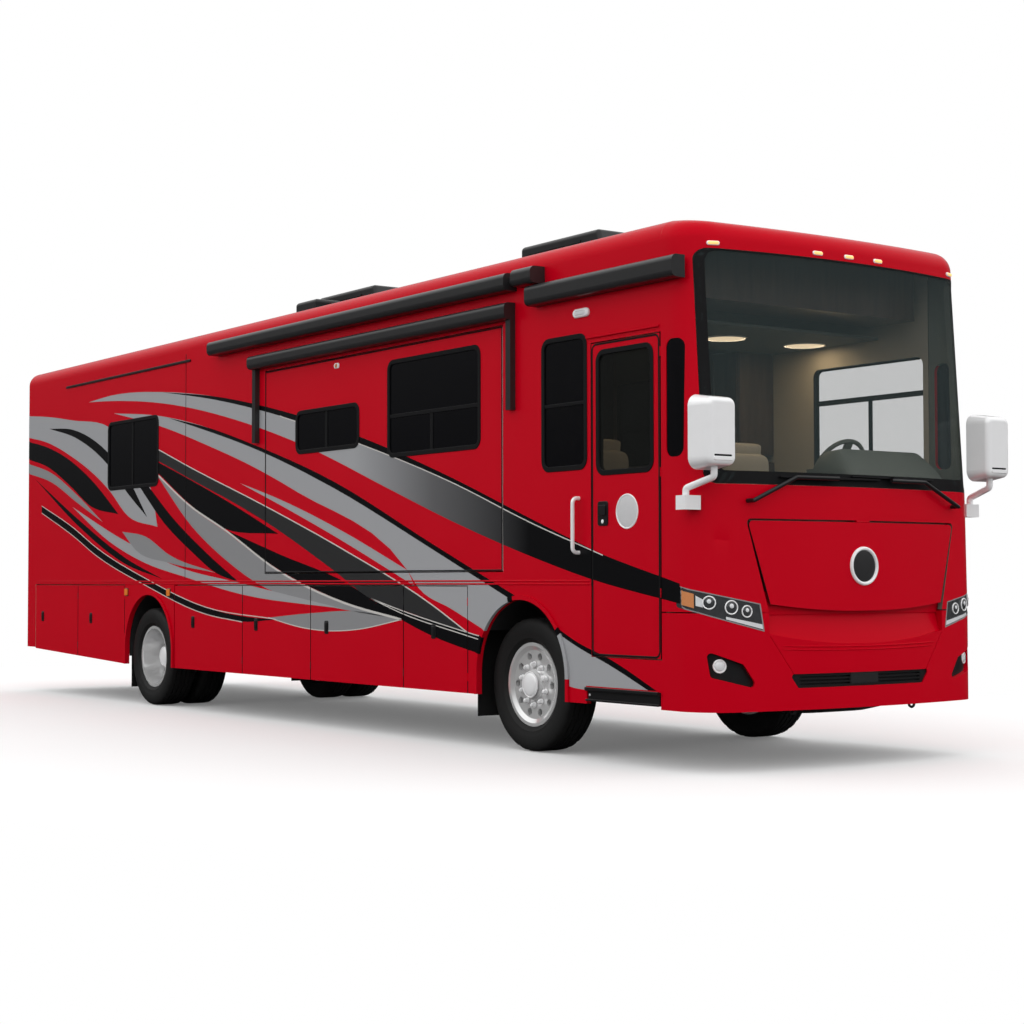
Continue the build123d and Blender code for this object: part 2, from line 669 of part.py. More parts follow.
def make_floor_deck():
    half = HALF - WALL
    deck = block(REAR_SEAM_X, CAP_SEAM_X, -half, half, DECK_FOOT_Z, DECK_Z)
    nose_half = HALF - CAP_WALL - DOOR_GAP
    deck += block(CAP_SEAM_X, CAP_SEAM_X + 2 * CAP_WALL, -nose_half, nose_half, DECK_FOOT_Z, DECK_Z)
    well_x0 = DOOR_X0 - DOOR_GAP
    well_x1 = DOOR_X1 + DOOR_GAP
    deck -= block(well_x0, well_x1, -half, WELL_Y, DECK_FOOT_Z, DECK_Z)
    well_y0 = -HALF + WALL + DOOR_GAP
    run = (WELL_Y - well_y0) / TREADS
    rise = (DECK_Z - DOOR_Z0) / TREADS
    for step in range(TREADS):
        y = well_y0 + run * step
        z = DOOR_Z0 + rise * step
        deck += block(well_x0 - PLATE, well_x1 + PLATE, y, y + run + PLATE, z - PLATE, z)
        deck += block(well_x0 - PLATE, well_x1 + PLATE, y + run, y + run + PLATE, z - PLATE, z + rise)
    for x in (well_x0 - PLATE, well_x1):
        deck += block(x, x + PLATE, well_y0, WELL_Y, DOOR_Z0 - PLATE, DECK_Z)
    for x in (SLIDE_X0 + RUNNER_INSET, SLIDE_X1 - RUNNER_INSET):
        deck += block(x - RUNNER_WIDTH / 2, x + RUNNER_WIDTH / 2, -half, -half + SLIDE_DEPTH / 2,
                      DECK_Z, SLIDE_Z0 - SEAT_GAP)
    return deck


# Chassis

ENGINE_Z0 = 520
ENGINE_SHARE = 0.56         # engine's part of the way from its rear end to the rear axle
CROSS_WIDTH = 90
RAIL_X0 = REAR_SEAM_X + CAP_WALL
RAIL_LEAD = 1540            # rails' front end ahead of the front axle
FRONT_CROSS_LEAD = 1449
RAIL_X1 = FRONT_X + RAIL_LEAD
TAIL_CROSS_X = RAIL_X0 + CROSS_WIDTH
ENGINE_X0 = TAIL_CROSS_X + CROSS_WIDTH
ENGINE_X1 = ENGINE_X0 + ENGINE_SHARE * (REAR_X - ENGINE_X0)
# Crossmembers between the axles as shares of the wheelbase
CROSS_SHARES = [0.16, 0.54, 0.79]


def make_chassis_frame():
    """Two rails, the crossmembers between them and the hitch receiver hung under the last."""
    rail = block(RAIL_X0, RAIL_X1, -RAIL_OUT, -RAIL_IN, RAIL_Z0, DECK_FOOT_Z)
    half_cross = CROSS_WIDTH / 2
    half_span = RAIL_IN - SEAT_GAP
    stations = [FRONT_X - share * WHEELBASE for share in CROSS_SHARES]
    stations += [FRONT_X + FRONT_CROSS_LEAD, FRONT_X + FRONT_CROSS_LEAD / 2]
    stations += [ENGINE_X1 + 2 * CROSS_WIDTH, TAIL_CROSS_X]
    crosses = [block(x - half_cross, x + half_cross, -half_span, half_span, RAIL_Z0, RAIL_Z0 + CROSS_WIDTH)
               for x in stations]
    half = RECEIVER_OUT / 2
    tube_x0 = TAIL_X + CAP_WALL
    tube_x1 = TAIL_CROSS_X + half_cross
    hanger_x0 = tube_x1 - CROSS_WIDTH
    tube = block(tube_x0, tube_x1, -half, half, RECEIVER_Z - half, RECEIVER_Z + half)
    tube += block(hanger_x0, tube_x1, -half, half, RECEIVER_Z, RAIL_Z0 - SEAT_GAP)
    bore = RECEIVER_IN / 2
    tube -= block(tube_x0, hanger_x0, -bore, bore, RECEIVER_Z - bore, RECEIVER_Z + bore)
    tube -= Pos(tube_x0 + RECEIVER_OUT, 0, RECEIVER_Z) * Rot(90, 0, 0) * Cylinder(RECEIVER_PIN_R, 2 * RECEIVER_OUT)
    return [*both_sides(rail), *crosses, tube]


def make_engine():
    return block(ENGINE_X0, ENGINE_X1, -RAIL_IN, RAIL_IN, ENGINE_Z0, RAIL_Z0 + 2 * CROSS_WIDTH)


BEAM_WIDTH = 90
BEAM_FOOT = 70              # beam's foot below the wheel centre
BOSS_R = 48
BOSS_HALF = 75
KINGPIN_R = 22
KINGPIN_HALF = 135
AIR_SPRING_R = 110
AXLE_TUBE_R = 70
DIFF_R = 190
HUB_FACE = 60               # inner face of a wheel's hub from the wheel's middle plane


def air_spring(x, foot_z):
    height = RAIL_Z0 - foot_z
    return Pos(x, -RAIL_Y, foot_z + height / 2) * Cylinder(AIR_SPRING_R, height)


def make_axles():
    top = WHEEL_Z - BEAM_FOOT + BEAM_WIDTH
    front = block(FRONT_X - BEAM_WIDTH / 2, FRONT_X + BEAM_WIDTH / 2, -KINGPIN_Y, KINGPIN_Y,
                  WHEEL_Z - BEAM_FOOT, top)
    pin = Pos(FRONT_X, -KINGPIN_Y, WHEEL_Z)
    boss = pin * Cylinder(BOSS_R, 2 * BOSS_HALF) + pin * Cylinder(KINGPIN_R, 2 * KINGPIN_HALF)
    front += [*both_sides(boss), *both_sides(air_spring(FRONT_X, top - BEAM_WIDTH / 2))]
    reach = REAR_TRACK / 2 - SEAT_GAP - HUB_FACE
    rear = Pos(REAR_X, 0, WHEEL_Z) * Rot(90, 0, 0) * Cylinder(AXLE_TUBE_R, 2 * reach)
    rear += Pos(REAR_X, 0, WHEEL_Z) * Sphere(DIFF_R)
    rear += both_sides(air_spring(REAR_X, WHEEL_Z))
    return [front, rear]


KNUCKLE_EAR = 45
KNUCKLE_EAR_R = 55
SPINDLE_R = 60
CHEEK = 40


def make_knuckle():
    """Right-hand steering knuckle: two ears on the kingpin, a cheek and a spindle."""
    cheek_y = -KINGPIN_Y - BOSS_R - CHEEK / 2
    reach = BOSS_HALF + SEAT_GAP + KNUCKLE_EAR
    knuckle = block(FRONT_X - KNUCKLE_EAR_R, FRONT_X + KNUCKLE_EAR_R, cheek_y - CHEEK, cheek_y,
                    WHEEL_Z - reach, WHEEL_Z + reach)
    for z in (WHEEL_Z - reach, WHEEL_Z + BOSS_HALF + SEAT_GAP):
        ear = Pos(FRONT_X, -KINGPIN_Y, z + KNUCKLE_EAR / 2) * Cylinder(KNUCKLE_EAR_R, KNUCKLE_EAR)
        ear += block(FRONT_X - KNUCKLE_EAR_R, FRONT_X + KNUCKLE_EAR_R, cheek_y, -KINGPIN_Y, z, z + KNUCKLE_EAR)
        knuckle += ear
    knuckle -= Pos(FRONT_X, -KINGPIN_Y, WHEEL_Z) * Cylinder(KINGPIN_R + SEAT_GAP, 4 * BOSS_HALF)
    hub_y = -FRONT_TRACK / 2 + SPINDLE_STOP
    length = cheek_y - hub_y
    return knuckle + Pos(FRONT_X, cheek_y - length / 2, WHEEL_Z) * Rot(90, 0, 0) * Cylinder(SPINDLE_R, length)


# Wheels: profiles as radius and outward distance from the wheel's middle plane

def turned(profile, x, y_mid):
    """Revolve a profile about the axle; outward is to the right."""
    plane = Plane(origin=(x, y_mid, WHEEL_Z), x_dir=(1, 0, 0), z_dir=(0, 0, 1))
    points = [(r, -w) for r, w in profile]
    return revolve(plane * Polygon(*points, align=None), Axis((x, 0, WHEEL_Z), (0, 1, 0)))


FRONT_HUB_BACK = 20
SPINDLE_STOP = FRONT_HUB_BACK + SEAT_GAP      # spindle's end from the front wheel's middle plane, inboard
TREAD_HALF = 112
SHOULDER_R = 438
BEAD_HALF = 100


def make_tyre(x, y_mid):
    half = TYRE_WIDTH / 2
    bead_r = RIM_R + SEAT_GAP
    profile = [(bead_r, -BEAD_HALF), (SHOULDER_R, -half), (TYRE_R, -TREAD_HALF),
               (TYRE_R, TREAD_HALF), (SHOULDER_R, half), (bead_r, BEAD_HALF)]
    return turned(profile, x, y_mid)


RIM_IN = 276
HAND_HOLES = 10
HAND_HOLE_R = 26
FRONT_HOLE_PCR = 208
REAR_HOLE_PCR = 226


def hand_holes(x, y_mid, pitch_r):
    """Ring of holes through a wheel's disc."""
    hole = Pos(pitch_r, 0, 0) * Cylinder(HAND_HOLE_R, RIM_WIDTH)
    ring = [Rot(0, 0, 360 * number / HAND_HOLES) * hole for number in range(HAND_HOLES)]
    return [Pos(x, y_mid, WHEEL_Z) * Rot(90, 0, 0) * hole for hole in ring]


HUB_R = 110
DISC_FACE = 88
DISC_DISH = 10              # disc's face at the hub behind its face at the rim
DISC_WALL = 40
HUB_NOSE = 128
HUB_DOME = 25
TWIN_DISC = 22
TWIN_HUB_R = 160
TWIN_HUB_NOSE = 172


def make_front_wheel():
    half = RIM_WIDTH / 2
    inner = FRONT_HUB_BACK
    flange_r = RIM_IN - 3 * DISC_DISH
    profile = [(0, -inner), (HUB_R, -inner), (RIM_IN, DISC_FACE - DISC_WALL), (RIM_IN, -half), (RIM_R, -half),
               (RIM_R, half), (RIM_IN, half), (flange_r, DISC_FACE), (HUB_R, DISC_FACE - DISC_DISH),
               (HUB_R, HUB_NOSE - HUB_DOME), (0, HUB_NOSE)]
    return turned(profile, FRONT_X, -FRONT_TRACK / 2) - hand_holes(FRONT_X, -FRONT_TRACK / 2, FRONT_HOLE_PCR)


def make_rear_wheels():
    """Twin rims bolted face to face, with the hub's nose standing out in the deep dish."""
    far = TWIN_PITCH / 2 + RIM_WIDTH / 2
    disc = TWIN_DISC
    profile = [(0, -HUB_FACE), (TWIN_HUB_R, -HUB_FACE), (TWIN_HUB_R, -disc), (RIM_IN, -disc), (RIM_IN, -far),
               (RIM_R, -far), (RIM_R, far), (RIM_IN, far), (RIM_IN, disc), (TWIN_HUB_R, disc),
               (HUB_R, TWIN_HUB_NOSE - HUB_DOME), (0, TWIN_HUB_NOSE)]
    return turned(profile, REAR_X, -REAR_TRACK / 2) - hand_holes(REAR_X, -REAR_TRACK / 2, REAR_HOLE_PCR)


def make_rear_tyres():
    return [make_tyre(REAR_X, -REAR_TRACK / 2 + side * TWIN_PITCH / 2) for side in (-1, 1)]


FLAP_WALL = 12
FLAP_OUT = BAY_Y - 5 * DOOR_GAP
# Mud flaps: rear face from the front axle, foot, width
FLAPS = [(FRONT_ARCH_BACK + PLATE / 2, 220, 330), (REAR_ARCH_BACK - DOOR_GAP, 155, 560)]


def make_mud_flaps():
    """Flaps hung behind the wheels, the front pair on the first bulkhead."""
    flaps = []
    for x, foot, width in FLAPS:
        flap = block(at(x), at(x) + FLAP_WALL, -FLAP_OUT, width - FLAP_OUT, foot, DECK_FOOT_Z)
        flaps += both_sides(flap)
    return flaps


# Fittings outside

# Awning cases: rear end and front end from the front axle, foot, head, depth
AWNINGS = [(-4750, 10, 3290, 3415, 120), (250, 1855, 3145, 3290, 110), (-3990, -10, 3090, 3210, 100)]
# Drive of the patio awning: neck and motor head, in the same columns
AWNING_DRIVE = [(10, 110, 3325, 3395, 70), (110, 350, 3300, 3420, 130)]
AWNING_R = 40
LEG_WIDTH = 60
LEG_DEPTH = 45
LEG_FOOT = 2440


def awning_case(row):
    """Case on the right-hand side with its outer edges rounded."""
    x0, x1, z0, z1, depth = row
    outline = Pos(-HALF - depth / 2, (z0 + z1) / 2) * Rectangle(depth, z1 - z0)
    outer = outline.vertices().sort_by(Axis.X)[:2]
    radius = min(AWNING_R, (z1 - z0) / 3)
    return extrude(Plane.YZ.offset(at(x0)) * fillet(outer, radius), x1 - x0)


def make_awnings():
    """Patio, door and window awnings; the window awning folds onto a leg at each end."""
    cases = [awning_case(row) for row in AWNINGS]
    cases[0] += [awning_case(row) for row in AWNING_DRIVE]
    x0, x1, z0, z1, depth = AWNINGS[-1]
    for x in (at(x0), at(x1) - LEG_WIDTH):
        cases[-1] += block(x, x + LEG_WIDTH, -HALF - LEG_DEPTH, -HALF, LEG_FOOT, z0)
    return cases


# Roof units: rear foot from the front axle
ROOF_UNITS = [-1225, -4500]
UNIT_LENGTH = 1150
UNIT_TOP = 1000
UNIT_HEIGHT = 318
UNIT_WIDTH = 730
UNIT_R = 35
VENT_X = -4330              # rear end from the front axle
VENT_LENGTH = 360
VENT_Y = -550
VENT_WIDTH = 280
VENT_HEIGHT = 225


def make_roof_units():
    """Shrouds with a sloping front, rounded round the top."""
    units = []
    for station in ROOF_UNITS:
        x = at(station)
        top = ROOF_Z + UNIT_HEIGHT
        side = Polygon((x, ROOF_Z), (x + UNIT_LENGTH, ROOF_Z), (x + UNIT_TOP, top), (x, top), align=None)
        unit = side_plate(side, UNIT_WIDTH / 2, UNIT_WIDTH)
        rim = unit.edges().sort_by(Axis.Z)[4:]
        units.append(fillet(rim, UNIT_R))
    vent = Pos(at(VENT_X) + VENT_LENGTH / 2, VENT_Y, ROOF_Z + VENT_HEIGHT / 2) * Box(
        VENT_LENGTH, VENT_WIDTH, VENT_HEIGHT)
    head = vent.faces().sort_by(Axis.Z)[-1].edges()
    return [*units, fillet(head, UNIT_R)]


MIRROR_Y = 1276
MIRROR_Z0 = 1910
MIRROR_Z1 = 2380
MIRROR_WIDTH = 280
MIRROR_DEPTH = 170
MIRROR_R = 75
MIRROR_TAPER = 9
MIRROR_NOSE_R = 35
MIRROR_BASE_X = 1906        # from the front axle
MIRROR_BASE_Z = 1710
MIRROR_BASE = 90
MIRROR_ARM_R = 22


def make_mirrors():
    tip_x = OVERALL_LENGTH / 2
    head_x = tip_x - MIRROR_DEPTH / 2
    outline = Pos(-MIRROR_Y, (MIRROR_Z0 + MIRROR_Z1) / 2) * RectangleRounded(
        MIRROR_WIDTH, MIRROR_Z1 - MIRROR_Z0, MIRROR_R)
    head = extrude(Plane.YZ.offset(tip_x - MIRROR_DEPTH) * outline, MIRROR_DEPTH, taper=MIRROR_TAPER)
    head = fillet(head.faces().sort_by(Axis.X)[-1].edges(), MIRROR_NOSE_R)
    base_x = at(MIRROR_BASE_X)
    half = MIRROR_BASE / 2
    base = block(base_x - half, base_x + half, -HALF - MIRROR_BASE, -HALF + CAP_WALL,
                 MIRROR_BASE_Z - half, MIRROR_BASE_Z + half)
    base -= mask_body(-SEAT_GAP)
    arm_y = -HALF - half
    elbow_z = MIRROR_BASE_Z + 2 * half
    path = FilletPolyline((base_x, arm_y, MIRROR_BASE_Z), (base_x, arm_y, elbow_z),
                          (head_x, -MIRROR_Y, MIRROR_Z0 - half), (head_x, -MIRROR_Y, MIRROR_Z0 + half), radius=25)
    section = Plane(origin=path @ 0, z_dir=path % 0) * Circle(MIRROR_ARM_R)
    arm = sweep(section, path=path)
    return both_sides(head + base + arm)


WIPER_Y = 945
WIPER_Z = 1725
WIPER_R = 14
BLADE_Z = 1880
BLADE_LENGTH = 700
BLADE_OFF = 20


def screen_x(y, z):
    """Outer face of the bowed front at a height above the windshield's foot, or of the mask below it."""
    bow = NOSE_BOW_R - (NOSE_BOW_R ** 2 - y ** 2) ** 0.5
    if z < WAIST_Z:
        return NOSE_X - MASK_RAKE * (z - MASK_Z) - bow
    return WAIST_X - SCREEN_RAKE * (z - WAIST_Z) - bow


def make_wipers():
    """Pivot, bent arm and blade in one, laid along the windshield's foot."""
    pivot_x = screen_x(WIPER_Y, WIPER_Z)
    mid_y = WIPER_Y - BLADE_LENGTH / 2
    far_y = WIPER_Y - BLADE_LENGTH
    path = Polyline((pivot_x - WIPER_R, -WIPER_Y, WIPER_Z),
                    (pivot_x + 3 * BLADE_OFF, -WIPER_Y, WIPER_Z),
                    (screen_x(mid_y, BLADE_Z) + 2 * BLADE_OFF, -mid_y, BLADE_Z),
                    (screen_x(far_y, BLADE_Z) + 2 * BLADE_OFF, -far_y, BLADE_Z))
    section = Plane(origin=path @ 0, z_dir=path % 0) * Circle(WIPER_R)
    wiper = sweep(section, path=path, transition=Transition.RIGHT)
    return both_sides(wiper - mask_body(-SEAT_GAP))


HANDLE_X = 737              # from the front axle
HANDLE_Z0 = 1410
HANDLE_Z1 = 1780
HANDLE_OFF = 55
HANDLE_R = 14


def make_grab_handle():
    x = at(HANDLE_X)
    y = -HALF - HANDLE_OFF
    path = FilletPolyline((x, -HALF, HANDLE_Z0), (x, y, HANDLE_Z0), (x, y, HANDLE_Z1), (x, -HALF, HANDLE_Z1), radius=35)
    return sweep(Plane(origin=path @ 0, z_dir=path % 0) * Circle(HANDLE_R), path=path)


# Cab interior

DASH_X0 = 1450              # from the front axle
DASH_Z0 = 1500
DASH_Z1 = 1810
POD_Z = 1990
DRIVER_Y = 600
POD_HALF = 430
SEAT_ROWS = [(640, DRIVER_Y), (380, -560)]    # middle of the cushion from the front axle, side
SEAT_WIDTH = 540
SEAT_DEPTH = 520
SEAT_Z = 1740
SEAT_PAD = 140
BACK_Z = 2270
BACK_PAD = 150
PEDESTAL = 300
WHEEL_RING_R = 225
WHEEL_TUBE_R = 16
COLUMN_R = 35
WHEEL_X = 1330
WHEEL_LEAN = 60
WHEEL_RING_Z = 2010


def make_dashboard():
    dash = leaning_prism(NOSE_X, CAP_WALL + 5 * DOOR_GAP, DASH_Z0, DASH_Z1, MASK_RAKE)
    dash -= block(CAP_SEAM_X - HALF, CAP_SEAM_X + WALL, -HALF, HALF, DASH_Z0, DASH_Z1)
    pod_x = at(DASH_X0)
    dash += block(pod_x, CAP_SEAM_X + 2 * WALL, DRIVER_Y - POD_HALF, DRIVER_Y + POD_HALF, DASH_Z0, POD_Z)
    leg = block(CAP_SEAM_X + WALL, CAP_SEAM_X + WALL + PLATE, -HALF / 2, HALF / 2, DECK_Z, DASH_Z0)
    return dash + leg


def make_steering_wheel():
    """Ring, cross spoke and column, leaning back from the dashboard."""
    centre = Pos(at(WHEEL_X), DRIVER_Y, WHEEL_RING_Z) * Rot(0, -WHEEL_LEAN, 0)
    tube = Plane.XZ * Pos(WHEEL_RING_R, 0) * RegularPolygon(WHEEL_TUBE_R, 8)
    wheel = centre * revolve(tube, Axis.Z)
    wheel += centre * Box(2 * WHEEL_RING_R, 2 * COLUMN_R, WHEEL_TUBE_R)
    column = centre * Pos(0, 0, -WHEEL_RING_R) * Cylinder(COLUMN_R, 2 * WHEEL_RING_R)
    dash_x = at(DASH_X0) - SEAT_GAP
    column -= block(dash_x, dash_x + HALF, 0, HALF, DASH_Z0, POD_Z + HALF)
    return wheel + column


def make_seats():
    seats = []
    for x, y in SEAT_ROWS:
        x0 = at(x) - SEAT_DEPTH / 2
        x1 = at(x) + SEAT_DEPTH / 2
        y0 = y - SEAT_WIDTH / 2
        y1 = y + SEAT_WIDTH / 2
        seat = block(x0, x1, y0, y1, SEAT_Z - SEAT_PAD, SEAT_Z)
        seat += block(x0 - BACK_PAD, x0, y0, y1, SEAT_Z - SEAT_PAD, BACK_Z)
        seat += block(at(x) - PEDESTAL / 2, at(x) + PEDESTAL / 2, y - PEDESTAL / 2, y + PEDESTAL / 2,
                      DECK_Z, SEAT_Z - SEAT_PAD)
        seats.append(seat)
    return seats


# Cabinets: rear end, front end from the front axle, right side, left side, foot, head
CEILING_Z = ROOF_Z - ROOF_WALL
CABINETS = [(1150, 1600, -1100, 1100, 3080, CEILING_Z), (-2700, -2050, 560, 1228, DECK_Z, EAVE_Z),
            (-700, 0, 700, 1228, DECK_Z, 2150)]


def make_cabinets():
    return [block(at(x0), at(x1), y0, y1, z0, z1) for x0, x1, y0, y1, z0, z1 in CABINETS]


def collect():
    parts = {
        "chassis_frame": make_chassis_frame(), "axles": make_axles(), "engine": make_engine(),
        "basement": make_basement(), "bulkheads": make_bulkheads(), "floor_deck": make_floor_deck(),
        "right_wall": make_right_wall(), "left_wall": make_left_wall(), "roof": make_roof(),
        "front_cap": make_front_cap(), "front_bumper": make_front_bumper(), "rear_cap": make_rear_cap(),
        "skirts": make_skirts(), "entry_step": make_entry_step(), "windshield": make_windshield(),
        "side_glass": make_side_glass(), "awnings": make_awnings(), "roof_units": make_roof_units(),
        "mirrors": make_mirrors(), "front_lamps": make_front_lamps(), "rear_lamps": make_rear_lamps(),
        "grille": make_grille(), "wipers": make_wipers(), "grab_handle": make_grab_handle(),
        "mud_flaps": make_mud_flaps(), "dashboard": make_dashboard(), "steering_wheel": make_steering_wheel(),
        "seats": make_seats(), "cabinets": make_cabinets(),
        "slide_room": make_slide_room(), "slide_glass": [window_glass(w) for w in SLIDE_WINDOWS],
        "entry_door": make_entry_door(), "door_glass": window_glass(DOOR_WINDOW),
        "hood": make_hood(), "engine_hatch": make_engine_hatch(),
    }
    for number, span in enumerate(bay_spans(), 1):
        door = make_bay_door(span)
        parts[f"bay_door_right_{number}"] = door
        parts[f"bay_door_left_{number}"] = to_left(door)
    wheel_parts = {
        "knuckle": make_knuckle(), "front_wheel": make_front_wheel(),
        "front_tyre": make_tyre(FRONT_X, -FRONT_TRACK / 2),
        "rear_wheels": make_rear_wheels(), "rear_tyres": make_rear_tyres(),
    }
    for name, shape in wheel_parts.items():
        solids = shape if isinstance(shape, list) else [shape]
        parts[f"{name}_right"] = solids
        parts[f"{name}_left"] = [to_left(solid) for solid in solids]
    return parts


os.makedirs("parts", exist_ok=True)
for node, shape in collect().items():
    solids = shape if isinstance(shape, list) else [shape]
    export_step(Compound(children=[solid for item in solids for solid in item.solids()]), f"parts/{node}.step")
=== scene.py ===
import json
import math
import bpy
import bmesh
from mathutils import Matrix, Vector


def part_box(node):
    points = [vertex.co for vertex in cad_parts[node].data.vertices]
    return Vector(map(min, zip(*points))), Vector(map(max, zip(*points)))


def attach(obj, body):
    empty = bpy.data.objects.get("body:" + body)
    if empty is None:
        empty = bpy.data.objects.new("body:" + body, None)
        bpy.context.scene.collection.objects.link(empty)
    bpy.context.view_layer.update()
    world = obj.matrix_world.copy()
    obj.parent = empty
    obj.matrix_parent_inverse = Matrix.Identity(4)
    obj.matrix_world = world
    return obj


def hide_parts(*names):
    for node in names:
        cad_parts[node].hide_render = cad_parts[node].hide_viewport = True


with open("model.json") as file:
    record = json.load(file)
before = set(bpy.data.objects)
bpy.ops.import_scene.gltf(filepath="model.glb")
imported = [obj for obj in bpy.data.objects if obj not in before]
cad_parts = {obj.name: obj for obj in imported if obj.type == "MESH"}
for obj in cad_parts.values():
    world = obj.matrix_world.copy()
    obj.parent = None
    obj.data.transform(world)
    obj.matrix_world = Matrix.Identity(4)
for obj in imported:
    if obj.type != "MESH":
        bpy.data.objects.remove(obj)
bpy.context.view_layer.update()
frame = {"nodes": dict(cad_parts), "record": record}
nodes = frame["nodes"]
scene = bpy.context.scene
SIDES = ("right", "left")
BAYS = range(1, 7)        # bay doors on a side, from the front


def middle(node):
    low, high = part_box(node)
    return (low + high) / 2


# Main places in metres, from the solids
FRONT_X = middle("front_tyre_right").x
REAR_X = middle("rear_tyres_right").x
SIDE_Y = -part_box("right_wall")[0].y
NOSE_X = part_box("front_bumper")[1].x
BODY_MID_Z = 2.2


def at(along):
    """Model x of a place measured from the front axle."""
    return FRONT_X + along


def sign(side):
    return -1 if side == "right" else 1


# Materials

def new_material(name):
    material = bpy.data.materials.new(name)
    material.use_nodes = True
    tree = material.node_tree
    return material, tree, tree.nodes["Principled BSDF"]


def add_noise(tree, scale, stretch=(1, 1, 1)):
    coords = tree.nodes.new("ShaderNodeTexCoord")
    mapping = tree.nodes.new("ShaderNodeMapping")
    mapping.inputs["Scale"].default_value = stretch
    noise = tree.nodes.new("ShaderNodeTexNoise")
    noise.inputs["Scale"].default_value = scale
    noise.inputs["Detail"].default_value = 3.0
    tree.links.new(coords.outputs["Object"], mapping.inputs["Vector"])
    tree.links.new(mapping.outputs["Vector"], noise.inputs["Vector"])
    return noise.outputs["Fac"]


def add_mix(tree, factor, first, second):
    """Mix by a factor of two colours, each given as numbers or as a socket."""
    mix = tree.nodes.new("ShaderNodeMixRGB")
    tree.links.new(factor, mix.inputs["Fac"])
    for name, source in (("Color1", first), ("Color2", second)):
        if isinstance(source, tuple):
            mix.inputs[name].default_value = (*source, 1)
        else:
            tree.links.new(source, mix.inputs[name])
    return mix.outputs["Color"]


def add_range(tree, value, low, high, start=0.0, end=1.0, smooth=False):
    """Number that goes from low to high while the value goes from start to end."""
    span = tree.nodes.new("ShaderNodeMapRange")
    if smooth:
        span.interpolation_type = "SMOOTHSTEP"
    for name, number in (("From Min", start), ("From Max", end), ("To Min", low), ("To Max", high)):
        span.inputs[name].default_value = number
    tree.links.new(value, span.inputs["Value"])
    return span.outputs["Result"]


def grained(name, color, rough=0.4, metal=0.0, coat=0.0, vary=0.06, scale=30.0, bump=0.0, alpha=1.0,
            shine=0.5, stretch=(1, 1, 1)):
    """Principled material whose colour and roughness vary a little with a noise."""
    material, tree, shader = new_material(name)
    grain = add_noise(tree, scale, stretch)
    darker = tuple(c * (1 - vary) for c in color)
    lighter = tuple(min(1.0, c * (1 + vary)) for c in color)
    tree.links.new(add_mix(tree, grain, darker, lighter), shader.inputs["Base Color"])
    roughness = add_range(tree, grain, max(0.0, rough * 0.85), min(1.0, rough * 1.15))
    tree.links.new(roughness, shader.inputs["Roughness"])
    shader.inputs["Metallic"].default_value = metal
    shader.inputs["Coat Weight"].default_value = coat
    shader.inputs["Coat Roughness"].default_value = 0.03
    shader.inputs["Alpha"].default_value = alpha
    shader.inputs["Specular IOR Level"].default_value = shine
    if bump:
        relief = tree.nodes.new("ShaderNodeBump")
        relief.inputs["Strength"].default_value = bump
        relief.inputs["Distance"].default_value = 0.002
        tree.links.new(grain, relief.inputs["Height"])
        tree.links.new(relief.outputs["Normal"], shader.inputs["Normal"])
    return material


def glass(name, color, rough, vary, alpha, shine):
    return grained(name, color, rough=rough, vary=vary, scale=3, alpha=alpha, shine=shine)


def fading(name, stops, rough, shine):
    """Paint that changes along the coach: stops are (metres from the front axle, colour)."""
    material, tree, shader = new_material(name)
    coords = tree.nodes.new("ShaderNodeTexCoord")
    split = tree.nodes.new("ShaderNodeSeparateXYZ")
    tree.links.new(coords.outputs["Object"], split.inputs["Vector"])
    first = stops[0][0]
    last = stops[-1][0]
    along = add_range(tree, split.outputs["X"], 0.0, 1.0, at(first), at(last))
    ramp = tree.nodes.new("ShaderNodeValToRGB")
    for place, color in stops[1:-1]:
        ramp.color_ramp.elements.new((place - first) / (last - first))
    for element, (place, color) in zip(ramp.color_ramp.elements, stops):
        element.color = (*color, 1)
    tree.links.new(along, ramp.inputs["Fac"])
    tree.links.new(ramp.outputs["Color"], shader.inputs["Base Color"])
    shader.inputs["Roughness"].default_value = rough
    shader.inputs["Specular IOR Level"].default_value = shine
    return material


def glowing(name, color, strength, seen):
    """Lit lens with a faint mottle: strength is its light, seen how bright it looks."""
    material, tree, shader = new_material(name)
    dimmer = tuple(c * 0.85 for c in color)
    tint = add_mix(tree, add_noise(tree, 60), dimmer, color)
    tree.links.new(tint, shader.inputs["Base Color"])
    tree.links.new(tint, shader.inputs["Emission Color"])
    path = tree.nodes.new("ShaderNodeLightPath")
    level = add_range(tree, path.outputs["Is Camera Ray"], strength, seen)
    tree.links.new(level, shader.inputs["Emission Strength"])
    return material


SILVER_COLOR = (0.36, 0.365, 0.38)
DARK_COLOR = (0.004, 0.004, 0.005)
RED = grained("red_paint", (0.55, 0.0004, 0.011), rough=0.22, vary=0.03, scale=2.0, shine=0.05)
SILVER = grained("silver_paint", SILVER_COLOR, rough=0.3, vary=0.05, scale=900, shine=0.2)
FADE_STOPS = [(-2.3, SILVER_COLOR), (-1.1, (0.12, 0.12, 0.125)), (0.15, DARK_COLOR)]
FADE = fading("fading_paint", FADE_STOPS, 0.3, 0.15)
BLACK_PAINT = grained("black_paint", DARK_COLOR, rough=0.25, vary=0.2, scale=900, shine=0.15)
CHARCOAL = grained("charcoal_paint", (0.03, 0.03, 0.031), rough=0.3, vary=0.08, scale=900, shine=0.2)
GREY = grained("grey_paint", (0.265, 0.267, 0.275), rough=0.3, vary=0.06, scale=900, shine=0.2)
PALE = grained("pale_pinstripe", (0.62, 0.60, 0.57), rough=0.3, vary=0.04, scale=300)
BLACK = grained("black_satin", (0.010, 0.010, 0.011), rough=0.34, vary=0.2, scale=40, shine=0.4)
GASKET = grained("black_gasket", (0.006, 0.006, 0.007), rough=0.55, vary=0.2, scale=120, shine=0.2)
